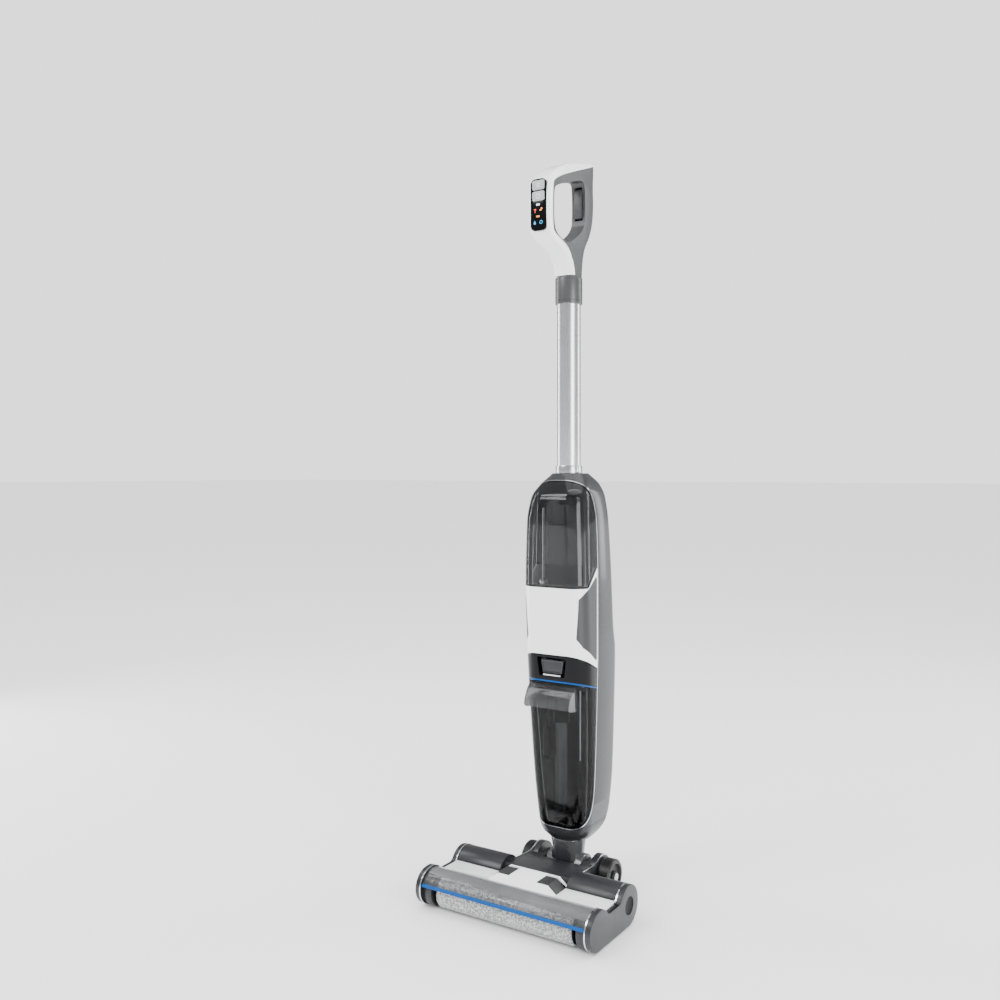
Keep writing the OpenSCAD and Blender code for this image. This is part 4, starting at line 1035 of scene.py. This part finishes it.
refine("window_latch_right", PANEL_GREY, 0.7, 3, 30)


def near_dimple(edge):
    centre = Vector((COWL_Y, COWL_Z))
    return all((v.co.yz - centre).length < 14 for v in edge.verts)


def end_plate(node, side):
    shape = whole_faces(drafted(node))
    outer = [e for e in shape.edges if all(side * v.co.x > 145.95 for v in e.verts)
             and e.calc_face_angle(0) > 0.6 and not near_dimple(e)]
    soften(shape, 2.6, 5, edges=outer)
    keep(shape, node + "_soft", HEAD_GREY, node)


end_plate("end_plate_left", -1)
end_plate("end_plate_right", 1)

# %% Bright rims of the end plates
RIM_WIDE, RIM_THICK = 2.0, 0.55
plate_caps = [lathe([(0, 144.7), (11.8, 144.7), (12.3, 145), (12.3, 145.3), (11.2, 145.3),
                     (10.4, 145.0), (0, 145.0)], (0, COWL_Y, COWL_Z), ACROSS, 64)]
if min(v.co.x for v in plate_caps[0].verts) < 0:
    mirrored(plate_caps[0])
plate_caps.append(mirrored(plate_caps[0].copy()))
keep(join(*plate_caps), "plate_dimple_caps", BLACK_INNER, body="head")

# A painted highlight, a bright silver ribbon, follows the deck's side edge back and over the ear
# beside each wheel
EAR_Y, EAR_Z, EAR_R = 70, 29, 28
over_ear = [math.radians(a) for a in range(122, 4, -4)]
edge_line = rounded([(-33.2, 44), (-31.8, 54.3), (12, 50.7), (34, 48.7), (45, 49.4)], 2) + [
    (EAR_Y + EAR_R * math.cos(t), EAR_Z + EAR_R * math.sin(t)) for t in over_ear]
inner_line = [(y + (0 if y < 30 else (EAR_Y - y) * 0.06), z - 1.5) for y, z in edge_line]
edge_highlight_ribbon = prism(edge_line + list(reversed(inner_line)), 55.6, 57.35)
soften(edge_highlight_ribbon, 0.3, 2, 50)
keep(join(edge_highlight_ribbon, mirrored(edge_highlight_ribbon.copy())), "deck_edge_painted_highlight", RIM_AND_PAINTED_HIGHLIGHT_SILVER, body="head")

# The plates' own ribbon: a copy of the inner face's edge, widened and given a thickness
source = drafted("end_plate_left")
inner_x = max(v.co.x for v in source.verts)
rim_edges = [e for e in source.edges if all(v.co.x > inner_x - 0.01 for v in e.verts)
             and e.calc_face_angle(0) > 0.6]
ribbon = bmesh.new()
copies = {}
for edge in rim_edges:
    for v in edge.verts:
        if v.index not in copies:
            copies[v.index] = ribbon.verts.new(v.co)
    ribbon.edges.new([copies[v.index] for v in edge.verts])
source.free()
strip = bmesh.ops.extrude_edge_only(ribbon, edges=list(ribbon.edges))["geom"]
new_side = [v for v in strip if isinstance(v, bmesh.types.BMVert)]
bmesh.ops.translate(ribbon, vec=(-RIM_WIDE, 0, 0), verts=new_side)
bmesh.ops.recalc_face_normals(ribbon, faces=ribbon.faces)
middle = Vector((inner_x, -60, 30))
if sum((f.calc_center_median() - middle).dot(f.normal) for f in ribbon.faces) < 0:
    bmesh.ops.reverse_faces(ribbon, faces=ribbon.faces)
bmesh.ops.solidify(ribbon, geom=list(ribbon.faces), thickness=-RIM_THICK)
other = ribbon.copy()
keep(ribbon, "left_plate_rim", RIM_AND_PAINTED_HIGHLIGHT_SILVER, body="head")
keep(mirrored(other), "right_plate_rim", RIM_AND_PAINTED_HIGHLIGHT_SILVER, body="head")

# %% [markdown]
# ### Roller and wheels
# The roller is spun with many rings, and every vertex is then pushed in or out a little by
# noise, so that the sleeve's outline is furry too. Each wheel is a spun tyre with a ribbed
# tread over a dished hub, and six round recesses lighten the hub.

# %% Roller sleeve
PILE_R, PILE_HALF, PILE_CORE_R = 25.0, 113.0, 19
ROLLER = (0, -106, 25)
RINGS, TUFT = 190, 0.9
profile = [(PILE_CORE_R, -PILE_HALF), (PILE_R - 2.4, -PILE_HALF), (PILE_R - 0.9, -PILE_HALF + 0.8)]
profile += [(PILE_R - 0.3, -PILE_HALF + 2 + (2 * PILE_HALF - 4) * k / RINGS)
            for k in range(RINGS + 1)]
profile += [(PILE_R - 0.9, PILE_HALF - 0.8), (PILE_R - 2.4, PILE_HALF), (PILE_CORE_R, PILE_HALF),
            (PILE_CORE_R, -PILE_HALF)]
sleeve = lathe(profile, ROLLER, ACROSS, 170)
for vertex in sleeve.verts:
    out = Vector((0, vertex.co.y - ROLLER[1], vertex.co.z - ROLLER[2]))
    if out.length > PILE_CORE_R + 1:
        tuft = noise.noise(vertex.co * 0.55) * 0.5 + noise.noise(vertex.co * 1.4) * 0.5
        vertex.co += out.normalized() * (tuft * TUFT - 0.35)
keep(sleeve, "microfibre_sleeve", PILE, "roller_pile", crease=180)

# %% Wheels
WHEEL_Y, WHEEL_Z, HUB_X = 72, 26, 58
TREAD_RIBS, RIB_PITCH = 7, 2.0
RECESSES, RECESS_RING_R, RECESS_R = 6, 13.8, 2.9


def wheel(side, node):
    tread = []
    for k in range(TREAD_RIBS):
        x = 3.6 + RIB_PITCH * k
        tread += [(26, x), (26, x + 1.2), (25.5, x + 1.4), (25.5, x + 1.8)]
    half = [(4.06, 0), (10, 0), (22, 0), (24.4, 0.6), (25.6, 1.8), *tread, (25.6, 18.2),
            (24.4, 19.4), (22.4, 20), (20, 20), (19.4, 19.6), (18.6, 16.2), (18, 15.2), (9.6, 15),
            (8.6, 16), (8.2, 19.4), (7.6, 20), (4.06, 20), (4.06, 0)]
    tyre = lathe(half, (HUB_X, WHEEL_Y, WHEEL_Z), ACROSS, 96)
    if min(v.co.x for v in tyre.verts) < HUB_X - 1:
        bmesh.ops.scale(tyre, vec=(-1, 1, 1), verts=tyre.verts)
        bmesh.ops.translate(tyre, vec=(2 * HUB_X, 0, 0), verts=tyre.verts)
    for k in range(RECESSES):
        turn = math.radians(360 / RECESSES * k + 30)
        spot = (HUB_X, WHEEL_Y + RECESS_RING_R * math.cos(turn),
                WHEEL_Z + RECESS_RING_R * math.sin(turn))
        tyre = carved(tyre, rod(RECESS_R, 12.6, 22, spot, ACROSS, 24))
    if side < 0:
        mirrored(tyre)
    keep(tyre, node + "_tyre", RUBBER, node)


wheel(-1, "wheel_left")
wheel(1, "wheel_right")
print("head made:", sum(pieces_made.values()), "faces in all new pieces")

# %% [markdown]
# ## Every other node
# What is left of the frame keeps its own shape: the motors, the battery, the pump and the other
# inner works. Each still gets the finish of its material slot.

# %% Finish the carried-over nodes
for node, thing in frame["nodes"].items():
    thing.data.materials.clear()
    thing.data.materials.append(FINISH_OF_SLOT[slot_of[node]])
print("finished", len(frame["nodes"]), "nodes;", len(pieces_made), "new pieces")

# %% [markdown]
# ## Floor and light
# A pale floor and a pale world stand for a white studio. The world is darker to glossy rays, so
# that dark plastic stays dark. Two large soft lamps above model the forms, and three tall ones
# round the machine draw the long bright lines that show a gloss shell's curves.

# %% Stage
floor_shape = bmesh.new()
bmesh.ops.create_grid(floor_shape, x_segments=8, y_segments=8, size=60)
floor_mesh = mesh_of(floor_shape, "studio_floor")
floor_finish = Finish("studio_floor", Roughness=0.75)
floor_finish.colours(floor_finish.cloud(0.8, 2), (0.86, 0.86, 0.865), (0.88, 0.88, 0.885))
floor_mesh.materials.append(floor_finish.material)
floor = linked("studio_floor", floor_mesh)

# The world's strength where it lights, where glossy surfaces mirror it, and to the camera
LIT_WORLD, GLOSSY_WORLD, SEEN_WORLD = 2.1, 0.45, 1.92
world = bpy.data.worlds.new("studio")
world.use_nodes = True
background = world.node_tree.nodes["Background"]
background.inputs["Color"].default_value = (1, 1, 1, 1)
ray = world.node_tree.nodes.new("ShaderNodeLightPath")
glossy, seen = (world.node_tree.nodes.new("ShaderNodeMix") for _ in range(2))
glossy.inputs[2].default_value, glossy.inputs[3].default_value = LIT_WORLD, GLOSSY_WORLD
seen.inputs[3].default_value = SEEN_WORLD
for start, end in ((ray.outputs["Is Glossy Ray"], glossy.inputs[0]),
                   (ray.outputs["Is Camera Ray"], seen.inputs[0]),
                   (glossy.outputs[0], seen.inputs[2]),
                   (seen.outputs[0], background.inputs["Strength"])):
    world.node_tree.links.new(start, end)
bpy.context.scene.world = world


def softbox(name, place, target, width, height, power):
    lamp = bpy.data.lights.new(name, "AREA")
    lamp.shape, lamp.size, lamp.size_y, lamp.energy = "RECTANGLE", width, height, power
    holder = linked(name, lamp)
    holder.location = place
    holder.rotation_euler = (Vector(target) - Vector(place)).to_track_quat("-Z", "Y").to_euler()


softbox("key_box", (-1.5, -2.2, 3.1), (0, 0, 0.6), 1.3, 1.3, 60)
softbox("right_panel", (2.13, -0.86, 0.8), (0, 0, 0.6), 1.0, 2.0, 42)
softbox("left_strip", (-1.9, -0.1, 1.0), (0, 0, 0.6), 0.35, 2.0, 20)
softbox("back_strip", (1.5, 1.9, 1.2), (0, 0, 0.6), 0.5, 2.0, 24)
softbox("top_box", (0.2, 0.3, 3.0), (0, 0, 0.5), 2.4, 2.4, 30)
